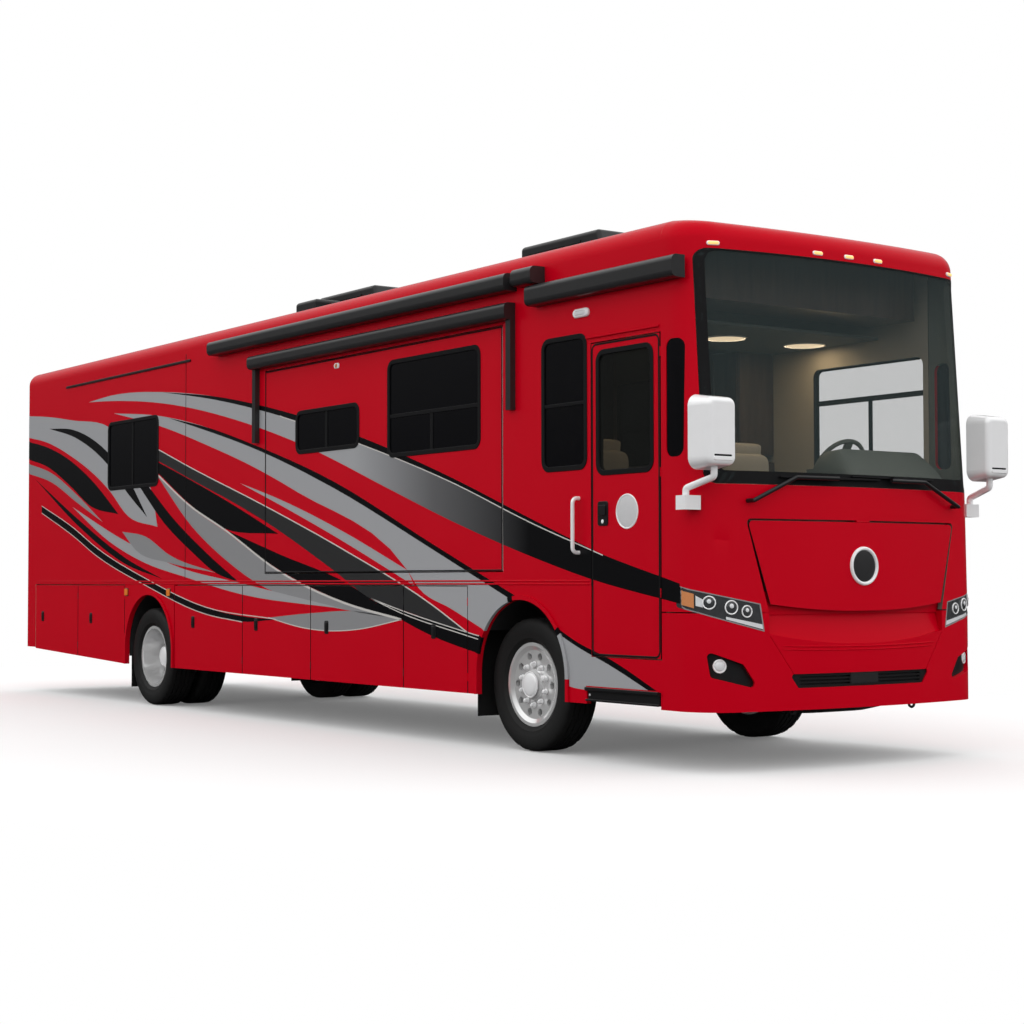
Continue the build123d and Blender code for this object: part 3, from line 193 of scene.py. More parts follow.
FRAME = grained("chassis_black", (0.02, 0.02, 0.021), rough=0.6, vary=0.2, scale=20, bump=0.1)
WHITE = grained("roof_white", (0.62, 0.62, 0.60), rough=0.5, vary=0.04, scale=8)
# Chrome as a near-white, barely metallic finish: its bright reflection is painted into the colour.
CHROME_PAINTED_REFLECTION = grained("chrome_painted_reflection", (0.97, 0.97, 0.98), rough=0.08, metal=0.12, vary=0.02, scale=15)
ALLOY = grained("polished_alloy", (0.95, 0.95, 0.95), rough=0.14, metal=0.6, vary=0.03, scale=25)
RUBBER = grained("tyre_rubber", (0.014, 0.014, 0.014), rough=0.62, vary=0.15, scale=60, bump=0.15,
                 shine=0.3)
# Darker, rougher copy of the polished alloy for the deep wheel discs: painted shade.
ALLOY_PAINTED_SHADE = grained("alloy_painted_shade", (0.26, 0.26, 0.27), rough=0.3, metal=0.5, vary=0.08, scale=25)
CAST = grained("cast_metal", (0.05, 0.05, 0.052), rough=0.55, metal=0.4, vary=0.2, scale=40, bump=0.2)
GLASS_DARK = glass("dark_glass", (0.003, 0.003, 0.004), rough=0.03, vary=0.2, alpha=0.95, shine=0.2)
GLASS_DOOR = glass("door_glass", (0.012, 0.013, 0.012), rough=0.03, vary=0.2, alpha=0.55, shine=0.2)
GLASS_CLEAR = glass("clear_glass", (0.04, 0.06, 0.06), rough=0.02, vary=0.1, alpha=0.12, shine=0.3)
GLASS_SCREEN = glass("screen_glass", (0.06, 0.085, 0.088), rough=0.02, vary=0.1, alpha=0.2, shine=0.3)
TRIM = grained("cab_trim", (0.16, 0.17, 0.14), rough=0.6, vary=0.08, scale=50, bump=0.2)
LINING = grained("cabin_lining", (0.46, 0.40, 0.31), rough=0.7, vary=0.06, scale=30, bump=0.1)
LEATHER = grained("tan_leather", (0.42, 0.36, 0.26), rough=0.5, vary=0.08, scale=70, bump=0.25)
WOOD = grained("dark_wood", (0.07, 0.04, 0.026), rough=0.3, coat=0.3, vary=0.5, scale=6,
               stretch=(4, 4, 0.5))
FLOOR = grained("cabin_floor", (0.28, 0.22, 0.16), rough=0.5, vary=0.15, scale=10)
LAMP_RED = grained("red_lens", (0.35, 0.006, 0.006), rough=0.1, coat=0.8, vary=0.1, scale=60)
LAMP_CLEAR = grained("clear_lens", (0.75, 0.76, 0.78), rough=0.08, coat=1.0, vary=0.1, scale=60)
LAMP_SMOKE = grained("smoked_lens", (0.045, 0.047, 0.05), rough=0.05, coat=0.6, vary=0.3, scale=25)
LAMP_AMBER = grained("amber_lens", (0.66, 0.26, 0.10), rough=0.12, coat=0.5, vary=0.12, scale=90)
LAMP_ORANGE = grained("orange_lens", (0.85, 0.24, 0.03), rough=0.12, coat=0.5, vary=0.1, scale=90)
LAMP_GLOW = glowing("lit_marker", (1.0, 0.5, 0.16), 1.0, 1.0)
CEILING_GLOW = glowing("ceiling_lamp", (1.0, 0.80, 0.52), 9.0, 1.1)
# Dark case colour lifted above the satin black trim: partly the case's own black, partly painted sheen; also
# used on the grille cover.
AWNING_BLACK_PAINTED_SHEEN = grained("awning_case_painted_sheen", (0.021, 0.021, 0.022), rough=0.3, vary=0.12, scale=30, shine=0.5)
BADGE = grained("badge_enamel", (0.62, 0.62, 0.63), rough=0.35, vary=0.05, scale=40)

SLOT_MATERIAL = {
    "body_paint": RED, "frame_paint": FRAME, "roof_shell": WHITE, "dark_glass": GLASS_DARK,
    "clear_glass": GLASS_SCREEN, "black_trim": BLACK, "bright_trim": CHROME_PAINTED_REFLECTION, "lamp_clear": LAMP_SMOKE,
    "lamp_red": LAMP_RED, "wheel_alloy": ALLOY, "tyre": RUBBER, "flap_rubber": RUBBER, "cast_metal": CAST,
    "cab_trim": TRIM, "seat_leather": LEATHER, "cabinet_wood": WOOD, "floor_board": FLOOR,
}
for row in frame["record"]["subparts"]:
    mesh = nodes[row["node"]].data
    mesh.materials.clear()
    mesh.materials.append(SLOT_MATERIAL[row["material_slot"]])


def face_paint(node, materials, pick):
    """Gives each face of a node the material whose number pick(centre, normal) returns."""
    mesh = nodes[node].data
    mesh.materials.clear()
    for material in materials:
        mesh.materials.append(material)
    for polygon in mesh.polygons:
        polygon.material_index = pick(polygon.center, polygon.normal)


def outward(centre, normal, x):
    return normal.dot(centre - Vector((x, 0, BODY_MID_Z))) > 0


def one_finish(centre, normal):
    return 0


def panel_face(centre, normal):
    """0 on the coach's outer side, 1 on the cabin side, 2 on an edge."""
    if abs(normal.y) < 0.5:
        return 2
    return 0 if normal.y * centre.y > 0 else 1


def paint_panels():
    for side in SIDES:
        face_paint(f"{side}_wall", [RED, LINING, BLACK], panel_face)
        for number in BAYS:
            face_paint(f"bay_door_{side}_{number}", [RED, FRAME, BLACK], panel_face)
    face_paint("entry_door", [RED, LINING, BLACK], panel_face)
    face_paint("slide_room", [RED, LINING, WHITE], panel_face)
    face_paint("skirts", [RED, FRAME, RED], panel_face)
    face_paint("awnings", [AWNING_BLACK_PAINTED_SHEEN], one_finish)


def shell_face(mid_x, rim_z=None):
    """Chooser for a shell: 0 outside, 1 inside, 2 on its flat top above rim_z."""
    def pick(centre, normal):
        if not outward(centre, normal, mid_x if mid_x is not None else centre.x):
            return 1
        if rim_z is not None and normal.z > 0.93 and centre.z > rim_z:
            return 2
        return 0
    return pick


# Places inside the end caps, from the front axle
FRONT_CAP_MID = 0.9
REAR_CAP_MID = -8.9
ROOF_RIM = 0.08             # white of the roof ends this far below its top


def paint_shells():
    roof_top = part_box("roof")[1].z
    face_paint("roof", [RED, LINING, WHITE], shell_face(None, roof_top - ROOF_RIM))
    face_paint("front_cap", [RED, TRIM], shell_face(at(FRONT_CAP_MID)))
    face_paint("rear_cap", [RED, LINING], shell_face(at(REAR_CAP_MID)))
    face_paint("hood", [RED, BLACK], lambda centre, normal: 0 if normal.x > 0.3 else 1)
    face_paint("engine_hatch", [RED, BLACK], lambda centre, normal: 0 if normal.x < 0.3 else 1)


FOG_HEAD_Z = 0.8            # fog lamps lie below, headlamps above
DRIVER_GLASS = (0.3, 1.6)   # driver's window lies between these places from the front axle


def paint_glass():
    """The driver's window is clear, the door's half dark, and the others are tinted."""
    rear, front = [at(x) for x in DRIVER_GLASS]

    def pane(centre, normal):
        return 1 if centre.y > 0 and rear < centre.x < front else 0

    def lamp(centre, normal):
        return 1 if centre.z < FOG_HEAD_Z else 0

    face_paint("door_glass", [GLASS_DOOR], one_finish)
    face_paint("side_glass", [GLASS_DARK, GLASS_CLEAR], pane)
    face_paint("front_lamps", [LAMP_SMOKE, LAMP_CLEAR], lamp)


# Disc of a twin wheel: inner and outer radius, and how far out from the middle line it reaches
DISC_INNER = 0.165
DISC_OUTER = 0.27
DISC_REACH = 1.0


def paint_rear_wheels():
    """The deep disc of a twin wheel gets a darker alloy than its barrel and hub: painted shade in the
    recess.
    """
    hub_z = middle("rear_tyres_right").z

    def pick(centre, normal):
        reach = math.hypot(centre.x - REAR_X, centre.z - hub_z)
        on_disc = DISC_INNER < reach < DISC_OUTER and abs(centre.y) < DISC_REACH
        return 1 if on_disc and abs(normal.y) > 0.7 else 0

    for side in SIDES:
        face_paint(f"rear_wheels_{side}", [ALLOY, ALLOY_PAINTED_SHADE], pick)


paint_panels()
paint_shells()
paint_glass()
paint_rear_wheels()


# Mesh helpers

def piece(name, bm, materials, body, slot, sharp=35):
    """Closes a bmesh into an object that rides on a body."""
    bmesh.ops.recalc_face_normals(bm, faces=bm.faces[:])
    mesh = bpy.data.meshes.new(name)
    bm.to_mesh(mesh)
    bm.free()
    for material in materials:
        mesh.materials.append(material)
    mesh.shade_smooth()
    mesh.set_sharp_from_angle(angle=math.radians(sharp))
    obj = bpy.data.objects.new(name, mesh)
    scene.collection.objects.link(obj)
    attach(obj, body)
    return obj


CURVE_STEPS = 6


def curve(points):
    """Smooth line through the points, with tangents weighted by the lengths of the runs."""
    points = [Vector(p) for p in points]
    runs = [(b - a).length for a, b in zip(points, points[1:])]
    slopes = [(b - a) / run for a, b, run in zip(points, points[1:], runs)]
    tangents = [slopes[0]]
    for i in range(1, len(points) - 1):
        tangents.append((slopes[i - 1] * runs[i] + slopes[i] * runs[i - 1]) / (runs[i - 1] + runs[i]))
    tangents.append(slopes[-1])
    line = []
    for i, run in enumerate(runs):
        for k in range(CURVE_STEPS):
            t = k / CURVE_STEPS
            a = (1 + 2 * t) * (1 - t) ** 2
            b = t * (1 - t) ** 2 * run
            c = t * t * (3 - 2 * t)
            d = t * t * (t - 1) * run
            line.append(points[i] * a + tangents[i] * b + points[i + 1] * c + tangents[i + 1] * d)
    line.append(points[-1])
    return line


def rounded(x0, x1, z0, z1, r, per=6):
    """Points round a rectangle with round corners."""
    corners = [(x1 - r, z1 - r, 0), (x0 + r, z1 - r, 90), (x0 + r, z0 + r, 180), (x1 - r, z0 + r, 270)]
    points = []
    for x, z, start in corners:
        for k in range(per + 1):
            angle = math.radians(start + 90 * k / per)
            points.append((x + r * math.cos(angle), z + r * math.sin(angle)))
    return points


def round_angles(count):
    return [2 * math.pi * k / count for k in range(count)]


def wheel_spot(centre, radius, across, angle):
    """Point on a circle round a line that runs across the coach."""
    return centre + Vector((radius * math.cos(angle), across, radius * math.sin(angle)))


def loft(bm, loops, slot=0, closed=False):
    """Skin through equal loops; closed joins the last loop to the first, else the ends are capped."""
    rows = [[bm.verts.new(p) for p in loop] for loop in loops]
    pairs = list(zip(rows, rows[1:]))
    if closed:
        pairs.append((rows[-1], rows[0]))
    for low, high in pairs:
        for i in range(len(low)):
            k = (i + 1) % len(low)
            face = bm.faces.new((low[i], low[k], high[k], high[i]))
            face.material_index = slot
    if not closed:
        for row in (rows[0], rows[-1]):
            bm.faces.new(row).material_index = slot


def side_place(side, x, z, height=0.0):
    """Point on a side of the coach, height off its face."""
    return Vector((at(x), sign(side) * (SIDE_Y + height), z))


def stepped(bm, place, extent, r, steps, slot=0, closed=False, least_r=0.001):
    """Skin through a rounded rectangle at each (inset, height); place(u, v, height) gives a point."""
    u0, u1, v0, v1 = extent
    loops = []
    for step, height in steps:
        outline = rounded(u0 + step, u1 - step, v0 + step, v1 - step, max(r - step, least_r))
        loops.append([place(u, v, height) for u, v in outline])
    loft(bm, loops, slot, closed)


def slab_steps(low, high, soft):
    """Upright edge with a softened outer corner."""
    return [(0, low), (0, high - soft), (soft, high)]


def side_slab(bm, side, x0, x1, z0, z1, r, low, high, slot=0, soft=0.003):
    """Plate on the side with round corners and a softened outer edge."""
    def place(x, z, height):
        return side_place(side, x, z, height)
    stepped(bm, place, (x0, x1, z0, z1), r, slab_steps(low, high, soft), slot)


def side_ring(bm, side, x0, x1, z0, z1, r, inner, outer, low, high):
    """Frame round an opening, from inner inside its edge to outer outside it."""
    lip = 0.003
    steps = [(inner, low), (inner, high - lip), (inner - lip, high), (-outer + lip, high),
             (-outer, high - lip), (-outer, low)]

    def place(x, z, height):
        return side_place(side, x, z, height)
    stepped(bm, place, (x0, x1, z0, z1), r, steps, closed=True, least_r=0.004)


def lathe(bm, profile, place, segments=48, slot=0, shape=None):
    """Turns (radius, along) points about an axis; place(radius, along, angle) gives the point."""
    rows = []
    for k, angle in enumerate(round_angles(segments)):
        row = []
        for radius, along in profile:
            if shape:
                radius = shape(k, radius)
            row.append(bm.verts.new(place(radius, along, angle)))
        rows.append(row)
    count = len(profile)
    for k in range(segments):
        for j in range(count):
            a, b = rows[k], rows[(k + 1) % segments]
            n = (j + 1) % count
            bm.faces.new((a[j], b[j], b[n], a[n])).material_index = slot


def dome(bm, middle_point, axis, radius, height, slot=0, rings=5, segments=20):
    """Low closed dome standing on a face: axis is its outward direction."""
    turn = Vector(axis).to_track_quat("Z", "Y").to_matrix()
    loops = []
    for k in range(rings):
        tilt = math.pi / 2 * k / rings
        r = radius * math.cos(tilt)
        rise = height * math.sin(tilt)
        ring = [Vector((r * math.cos(a), r * math.sin(a), rise)) for a in round_angles(segments)]
        loops.append([Vector(middle_point) + turn @ spot for spot in ring])
    loft(bm, loops, slot)


def turned_ring(bm, middle_point, axis, radius, thick, slot=0, segments=28):
    """Round bead about an axis."""
    turn = Vector(axis).to_track_quat("Z", "Y").to_matrix()
    profile = [(radius + thick * math.cos(a), thick * math.sin(a)) for a in round_angles(8)]

    def place(r, rise, angle):
        return Vector(middle_point) + turn @ Vector((r * math.cos(angle), r * math.sin(angle), rise))
    lathe(bm, profile, place, segments, slot)


def plate(bm, low, high, bevel, slot=0):
    """Softened block between two corners."""
    start = len(bm.faces)
    size = Vector(high) - Vector(low)
    centre = (Vector(high) + Vector(low)) / 2
    place = Matrix.Translation(centre) @ Matrix.Diagonal((*size, 1))
    made = bmesh.ops.create_cube(bm, size=1.0, matrix=place)
    edges = list(dict.fromkeys(e for v in made["verts"] for e in v.link_edges))
    bmesh.ops.bevel(bm, geom=edges, offset=bevel, segments=2, affect="EDGES")
    bm.faces.ensure_lookup_table()
    for face in bm.faces[start:]:
        face.material_index = slot


# Openings in the sides: rear end, front end, foot and head from the front axle and the ground
OPENING_R = 0.06
WINDOWS = {
    "right": [(-7.25, -6.06, 2.17, 2.83), (0.33, 0.81, 1.995, 2.885)],
    "left": [(-7.25, -6.06, 2.17, 2.83), (-4.3, -3.05, 2.21, 2.85), (-2.0, -0.7, 2.21, 2.94),
             (0.44, 1.56, 2.03, 2.84)],
    "slide": [(-3.243, -2.218, 2.32, 2.65), (-1.739, -0.472, 2.21, 2.94)],
    "door": [(0.952, 1.517, 1.945, 2.75)],
}
# Bars across the windows: rear end, front end, foot and head
BARS = {
    "right": [(-6.68, -6.64, 2.17, 2.83), (0.33, 0.81, 2.42, 2.445)],
    "left": [(-6.68, -6.64, 2.17, 2.83), (-3.7, -3.65, 2.21, 2.85), (-2.0, -0.7, 2.5, 2.53),
             (0.44, 1.56, 2.56, 2.6), (0.98, 1.02, 2.03, 2.58)],
    "slide": [(-2.76, -2.72, 2.32, 2.65), (-1.739, -0.472, 2.5, 2.53), (-1.14, -1.1, 2.21, 2.51)],
    "door": [],
}


# Window frame: reach inside and outside the opening's edge, inner and outer height off the wall
FRAME_SECTION = (0.014, 0.022, -0.004, 0.006)
# Bar: corner, inner and outer height off the wall
BAR_SECTION = (0.004, -0.006, 0.001)


def window_frames():
    rows = [("right", "right", "coach"), ("left", "left", "coach"), ("slide", "right", "slide_out"),
            ("door", "right", "door")]
    for group, side, body in rows:
        bm = bmesh.new()
        for x0, x1, z0, z1 in WINDOWS[group]:
            side_ring(bm, side, x0, x1, z0, z1, OPENING_R, *FRAME_SECTION)
        for x0, x1, z0, z1 in BARS[group]:
            side_slab(bm, side, x0, x1, z0, z1, *BAR_SECTION)
        piece(f"window_frames_{group}", bm, [GASKET], body, "black_trim")


window_frames()


# Stripes: finish, layer, upper edge, lower edge, in metres from the front axle and the ground
FINISHES = [SILVER, FADE, BLACK_PAINT, CHARCOAL, GREY, PALE]
SILVER_I, FADE_I, BLACK_I, CHARCOAL_I, GREY_I, PALE_I = range(6)
BANDS = [
    # upper sweep, silver to black, with a black line on its top edge
    (FADE_I, 1,
     [(-7.79, 3.105), (-7.19, 3.128), (-5.89, 3.055), (-4.8, 2.924), (-3.55, 2.702), (-2.22, 2.394),
      (-0.81, 1.984),
      (0.19, 1.652), (0.9, 1.422), (1.79, 1.2)],
     [(-7.79, 3.105), (-7.19, 3.071), (-5.72, 2.919), (-4.42, 2.685), (-2.93, 2.317), (-1.75, 1.949),
      (-0.81, 1.659), (0.19, 1.388), (0.87, 1.23), (1.79, 1.073)]),
    (BLACK_I, 2,
     [(-5.96, 3.06), (-4.8, 2.924), (-3.55, 2.702), (-2.22, 2.394), (-0.81, 1.984), (0.19, 1.652),
      (1.0, 1.392)],
     [(-5.96, 3.06), (-4.8, 2.893), (-3.55, 2.655), (-2.22, 2.338), (-0.81, 1.952), (0.19, 1.627),
      (1.0, 1.392)]),
    # second sweep, silver with a black top edge, down to the front arch
    (SILVER_I, 1,
     [(-7.13, 2.939), (-6.07, 2.839), (-4.9, 2.635), (-4.12, 2.452), (-2.6, 2.038), (-1.11, 1.502),
      (0.02, 1.1)],
     [(-7.13, 2.939), (-6.07, 2.745), (-4.9, 2.465), (-4.12, 2.257), (-3.22, 1.975), (-1.46, 1.301),
      (-1.3, 1.165),
      (-0.82, 1.003), (-0.36, 0.843)]),
    (BLACK_I, 2,
     [(-5.85, 2.804), (-4.9, 2.635), (-4.12, 2.452), (-2.6, 2.038), (-1.11, 1.502), (0.02, 1.1)],
     [(-5.85, 2.804), (-4.9, 2.601), (-4.12, 2.42), (-2.6, 1.984), (-1.11, 1.461), (0.0, 1.06)]),
    (SILVER_I, 1,
     [(-4.3, 2.1), (-3.55, 1.928), (-2.42, 1.613), (-1.46, 1.301)],
     [(-4.3, 2.1), (-3.55, 1.881), (-2.42, 1.533), (-1.36, 1.18)]),
    # charcoal band and the black wedges under it
    (CHARCOAL_I, 1,
     [(-6.04, 2.498), (-5.41, 2.312), (-3.84, 1.879), (-2.42, 1.462), (-1.11, 1.032), (-0.62, 0.83)],
     [(-6.04, 2.391), (-5.41, 2.208), (-3.84, 1.751), (-2.6, 1.303), (-2.01, 1.075), (-1.55, 0.994),
      (-0.62, 0.83)]),
    (BLACK_I, 1,
     [(-2.01, 1.075), (-1.55, 0.985), (-0.73, 0.85), (-0.4, 0.8)],
     [(-2.01, 1.075), (-1.55, 0.918), (-1.11, 0.802), (-0.38, 0.67)]),
    (BLACK_I, 1,
     [(-6.04, 2.379), (-5.41, 2.2), (-4.5, 1.93), (-3.57, 1.628)],
     [(-6.04, 2.27), (-5.3, 1.93), (-4.64, 1.705), (-3.57, 1.628)]),
    (BLACK_I, 1,
     [(-4.6, 1.69), (-3.54, 1.449), (-2.35, 1.187), (-2.0, 1.07), (-1.55, 0.918)],
     [(-4.6, 1.69), (-3.54, 1.31), (-2.42, 1.045), (-1.55, 0.918)]),
    # grey and silver crescents along the belt
    (GREY_I, 1,
     [(-6.07, 2.25), (-5.36, 1.93), (-4.59, 1.67), (-3.54, 1.29), (-2.42, 1.03), (-1.55, 0.918)],
     [(-6.07, 2.25), (-5.3, 1.74), (-4.6, 1.42), (-3.79, 1.155), (-2.8, 1.02), (-1.55, 0.918)]),
    (SILVER_I, 2,
     [(-8.21, 2.012), (-6.93, 1.65), (-5.46, 1.334), (-4.35, 1.208), (-2.46, 0.992)],
     [(-8.21, 2.012), (-7.24, 1.631), (-6.34, 1.399), (-5.4, 1.254), (-4.25, 1.099), (-2.46, 0.992)]),
    (GREY_I, 1,
     [(-3.75, 0.9), (-2.96, 0.95), (-2.3, 0.975), (-1.55, 0.918)],
     [(-3.75, 0.9), (-3.15, 0.828), (-2.74, 0.809), (-2.25, 0.828), (-1.55, 0.918)]),
    (BLACK_I, 1,
     [(-9.1, 2.05), (-8.2, 1.79), (-7.55, 1.561), (-6.34, 1.244), (-4.98, 0.972), (-4.25, 0.904),
      (-3.61, 0.885)],
     [(-9.1, 1.98), (-8.2, 1.71), (-7.55, 1.485), (-6.34, 1.184), (-4.98, 0.916), (-4.25, 0.856),
      (-3.61, 0.885)]),
    # plain sweeps at the tail
    (SILVER_I, 1,
     [(-9.55, 3.085), (-8.92, 3.03), (-8.23, 2.944), (-7.25, 2.805), (-6.6, 2.5), (-6.2, 2.1),
      (-6.06, 1.75)],
     [(-9.55, 2.845), (-8.92, 2.743), (-8.36, 2.592), (-7.24, 2.155), (-6.75, 1.87), (-6.06, 1.75)]),
    (BLACK_I, 2,
     [(-8.9, 2.9), (-8.2, 2.84), (-7.3, 2.556), (-6.7, 2.2), (-6.3, 1.85)],
     [(-8.9, 2.9), (-8.1, 2.74), (-7.3, 2.43), (-6.8, 2.12), (-6.3, 1.85)]),
    (BLACK_I, 1,
     [(-9.55, 2.8), (-8.92, 2.69), (-8.36, 2.54), (-7.6, 2.23), (-7.0, 1.9)],
     [(-9.55, 2.6), (-8.9, 2.47), (-8.3, 2.25), (-7.7, 2.0), (-7.0, 1.9)]),
    (GREY_I, 1,
     [(-9.55, 2.55), (-8.8, 2.4), (-8.1, 2.14), (-7.4, 1.83)],
     [(-9.55, 2.44), (-8.8, 2.3), (-8.1, 2.06), (-7.4, 1.83)]),
    (BLACK_I, 1,
     [(-9.3, 2.36), (-8.01, 1.86), (-6.81, 1.45), (-5.94, 1.24)],
     [(-9.3, 2.36), (-8.01, 1.79), (-6.81, 1.39), (-5.94, 1.24)]),
    (GREY_I, 3,
     [(-6.9, 1.72), (-6.34, 1.66), (-5.78, 1.47), (-4.79, 1.297)],
     [(-6.9, 1.72), (-6.57, 1.53), (-5.78, 1.395), (-4.79, 1.297)]),
    (BLACK_I, 3,
     [(-6.3, 2.17), (-5.7, 1.82), (-5.0, 1.49), (-4.32, 1.21)],
     [(-6.5, 2.17), (-5.9, 1.78), (-5.3, 1.5), (-4.76, 1.29), (-4.32, 1.21)]),
    # ahead of the front arch
    (SILVER_I, 1,
     [(0.42, 0.9), (0.72, 0.785), (1.06, 0.68), (1.55, 0.48)],
     [(0.42, 0.55), (0.61, 0.5), (1.0, 0.48), (1.55, 0.48)]),
    (BLACK_I, 2,
     [(0.42, 0.92), (0.72, 0.799), (1.06, 0.701), (1.64, 0.476)],
     [(0.42, 0.885), (0.72, 0.768), (1.06, 0.66), (1.56, 0.476)]),
]
# Pinstripes: layer, width, line
PINSTRIPES = [
    (3, 0.008, [(-3.55, 2.652), (-2.22, 2.335), (-0.81, 1.949), (0.19, 1.624), (1.0, 1.389)]),
    (2, 0.010, [(-6.04, 2.503), (-5.41, 2.317), (-3.84, 1.884), (-2.42, 1.467), (-1.11, 1.037),
                (-0.62, 0.835)]),
    (2, 0.008, [(-2.01, 1.079), (-1.55, 0.989), (-0.73, 0.854), (-0.4, 0.804)]),
    (2, 0.008, [(-2.01, 1.079), (-1.55, 0.968), (-0.73, 0.83), (-0.4, 0.778)]),
    (3, 0.018, [(-6.07, 2.262), (-5.36, 1.941), (-4.59, 1.683), (-3.54, 1.298), (-2.42, 1.037),
                (-1.55, 0.918)]),
    (2, 0.008, [(-9.1, 2.054), (-8.2, 1.794), (-7.55, 1.565), (-6.34, 1.248), (-4.98, 0.976),
                (-3.61, 0.887)]),
    (2, 0.008, [(-9.1, 1.976), (-8.2, 1.706), (-7.55, 1.481), (-6.34, 1.18), (-4.98, 0.912),
                (-4.25, 0.853)]),
    (3, 0.008, [(-3.75, 0.9), (-3.15, 0.826), (-2.74, 0.807), (-2.25, 0.826), (-1.55, 0.918)]),
]
LAYER = 0.0003
FILM_FOOT = 0.0002     # how far a film is let into the panel
CUT_GAP = 0.008
ARCH_AHEAD = 0.05      # arch centre ahead of its axle
ARCH_Z = 0.545
ARCH_LIP_R = 0.556     # middle of the arch's lip
ARCH_FOOT_Z = 0.2      # below the skirts
STEP_OPENING = (0.81, 1.61, 0.38, 0.51)     # rear end, front end, foot and head


def pinstripe_edges(width, line):
    """Two edges either side of a line."""
    smooth = curve(line)
    upper, lower = [], []
    for i, point in enumerate(smooth):
        ahead = smooth[min(i + 1, len(smooth) - 1)] - smooth[max(i - 1, 0)]
        across = Vector((-ahead.y, ahead.x)).normalized() * (width / 2)
        upper.append(point + across)
        lower.append(point - across)
    return upper, lower


def stripe_outlines():
    rows = []
    for finish, layer, upper, lower in BANDS:
        rows.append((finish, layer, curve(upper) + curve(lower)[::-1]))
    for layer, width, line in PINSTRIPES:
        upper, lower = pinstripe_edges(width, line)
        rows.append((PALE_I, layer, upper + lower[::-1]))
    return rows


def flat_bm(outline):
    """Triangles that fill an outline in the x-z plane."""
    bm = bmesh.new()
    verts = []
    for point in outline:
        if not verts or (Vector((verts[-1].co.x, verts[-1].co.z)) - point).length > 1e-4:
            verts.append(bm.verts.new((point.x, 0, point.y)))
    if (verts[0].co - verts[-1].co).length < 1e-4:
        bm.verts.remove(verts.pop())
    face = bm.faces.new(verts)
    bmesh.ops.triangulate(bm, faces=[face], ngon_method="EAR_CLIP")
    return bm


def trim_to(bm, x0, x1, z0, z1):
    for place, away in (((x0, 0, 0), (-1, 0, 0)), ((x1, 0, 0), (1, 0, 0)), ((0, 0, z0), (0, 0, -1)),
                        ((0, 0, z1), (0, 0, 1))):
        geometry = bm.verts[:] + bm.edges[:] + bm.faces[:]
        bmesh.ops.bisect_plane(bm, geom=geometry, plane_co=place, plane_no=away, clear_outer=True)


def cut_hole(bm, hole):
    """Takes a convex hole, given anticlockwise, out of the triangles."""
    low_x = min(p[0] for p in hole)
    high_x = max(p[0] for p in hole)
    low_z = min(p[1] for p in hole)
    high_z = max(p[1] for p in hole)

    def touches(face):
        xs = [v.co.x for v in face.verts]
        zs = [v.co.z for v in face.verts]
        return max(xs) > low_x and min(xs) < high_x and max(zs) > low_z and min(zs) < high_z

    lines = []
    for (ax, az), (bx, bz) in zip(hole, hole[1:] + hole[:1]):
        lines.append(((ax, 0, az), Vector((bz - az, 0, ax - bx)).normalized()))
    for place, away in lines:
        faces = [f for f in bm.faces if touches(f)]
        if not faces:
            return
        edges = list(dict.fromkeys(e for f in faces for e in f.edges))
        verts = list(dict.fromkeys(v for f in faces for v in f.verts))
        bmesh.ops.bisect_plane(bm, geom=verts + edges + faces, plane_co=place, plane_no=away)
    gone = []
    for face in bm.faces:
        centre = face.calc_center_median()
        if all((centre - Vector(place)).dot(away) < 0 for place, away in lines):
            gone.append(face)
    bmesh.ops.delete(bm, geom=gone, context="FACES")


def box_hole(x0, x1, z0, z1):
    return [(x0, z0), (x1, z0), (x1, z1), (x0, z1)]


def arch_hole(axle):
    """Wheel opening as a half disc on straight legs."""
    middle_x = axle + ARCH_AHEAD
    angles = [math.radians(a) for a in range(0, 181, 9)]
    rim = [(middle_x + ARCH_LIP_R * math.cos(a), ARCH_Z + ARCH_LIP_R * math.sin(a)) for a in angles]
    return rim + [(middle_x - ARCH_LIP_R, ARCH_FOOT_Z), (middle_x + ARCH_LIP_R, ARCH_FOOT_Z)]


def node_hole(node):
    """Opening in the wall that a moving piece fills, with its gap."""
    low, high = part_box(node)
    rear = low.x - FRONT_X
    front = high.x - FRONT_X
    return box_hole(rear - CUT_GAP, front + CUT_GAP, low.z - CUT_GAP, high.z + CUT_GAP)


def flat_panel(node, side):
    """Extent of a node's flat outer face, in stripe coordinates."""
    spots = [v.co for v in nodes[node].data.vertices if abs(v.co.y - sign(side) * SIDE_Y) < 2e-4]
    xs = [p.x - FRONT_X for p in spots]
    zs = [p.z for p in spots]
    return min(xs), max(xs), min(zs), max(zs)


def stripe_film(name, node, body, side, holes, outlines):
    """Painted stripes on one panel, as thin films in layers."""
    whole = bmesh.new()
    panel = flat_panel(node, side)
    face_y = sign(side) * SIDE_Y
    for finish, layer, outline in outlines:
        bm = flat_bm(outline)
        trim_to(bm, *panel)
        for hole in holes:
            cut_hole(bm, hole)
        if not bm.faces:
            bm.free()
            continue
        for vert in bm.verts:
            vert.co = (vert.co.x + FRONT_X, face_y - sign(side) * FILM_FOOT, vert.co.z)
        grown = bmesh.ops.extrude_face_region(bm, geom=bm.faces[:], use_keep_orig=True)
        for item in grown["geom"]:
            if isinstance(item, bmesh.types.BMVert):
                item.co.y = face_y + sign(side) * LAYER * (layer + 1)
        for face in bm.faces:
            face.material_index = finish
        scratch = bpy.data.meshes.new("scratch")
        bm.to_mesh(scratch)
        bm.free()
        whole.from_mesh(scratch)
        bpy.data.meshes.remove(scratch)
    if whole.faces:
        piece(name, whole, FINISHES, body, "body_paint", sharp=20)
    else:
        whole.free()


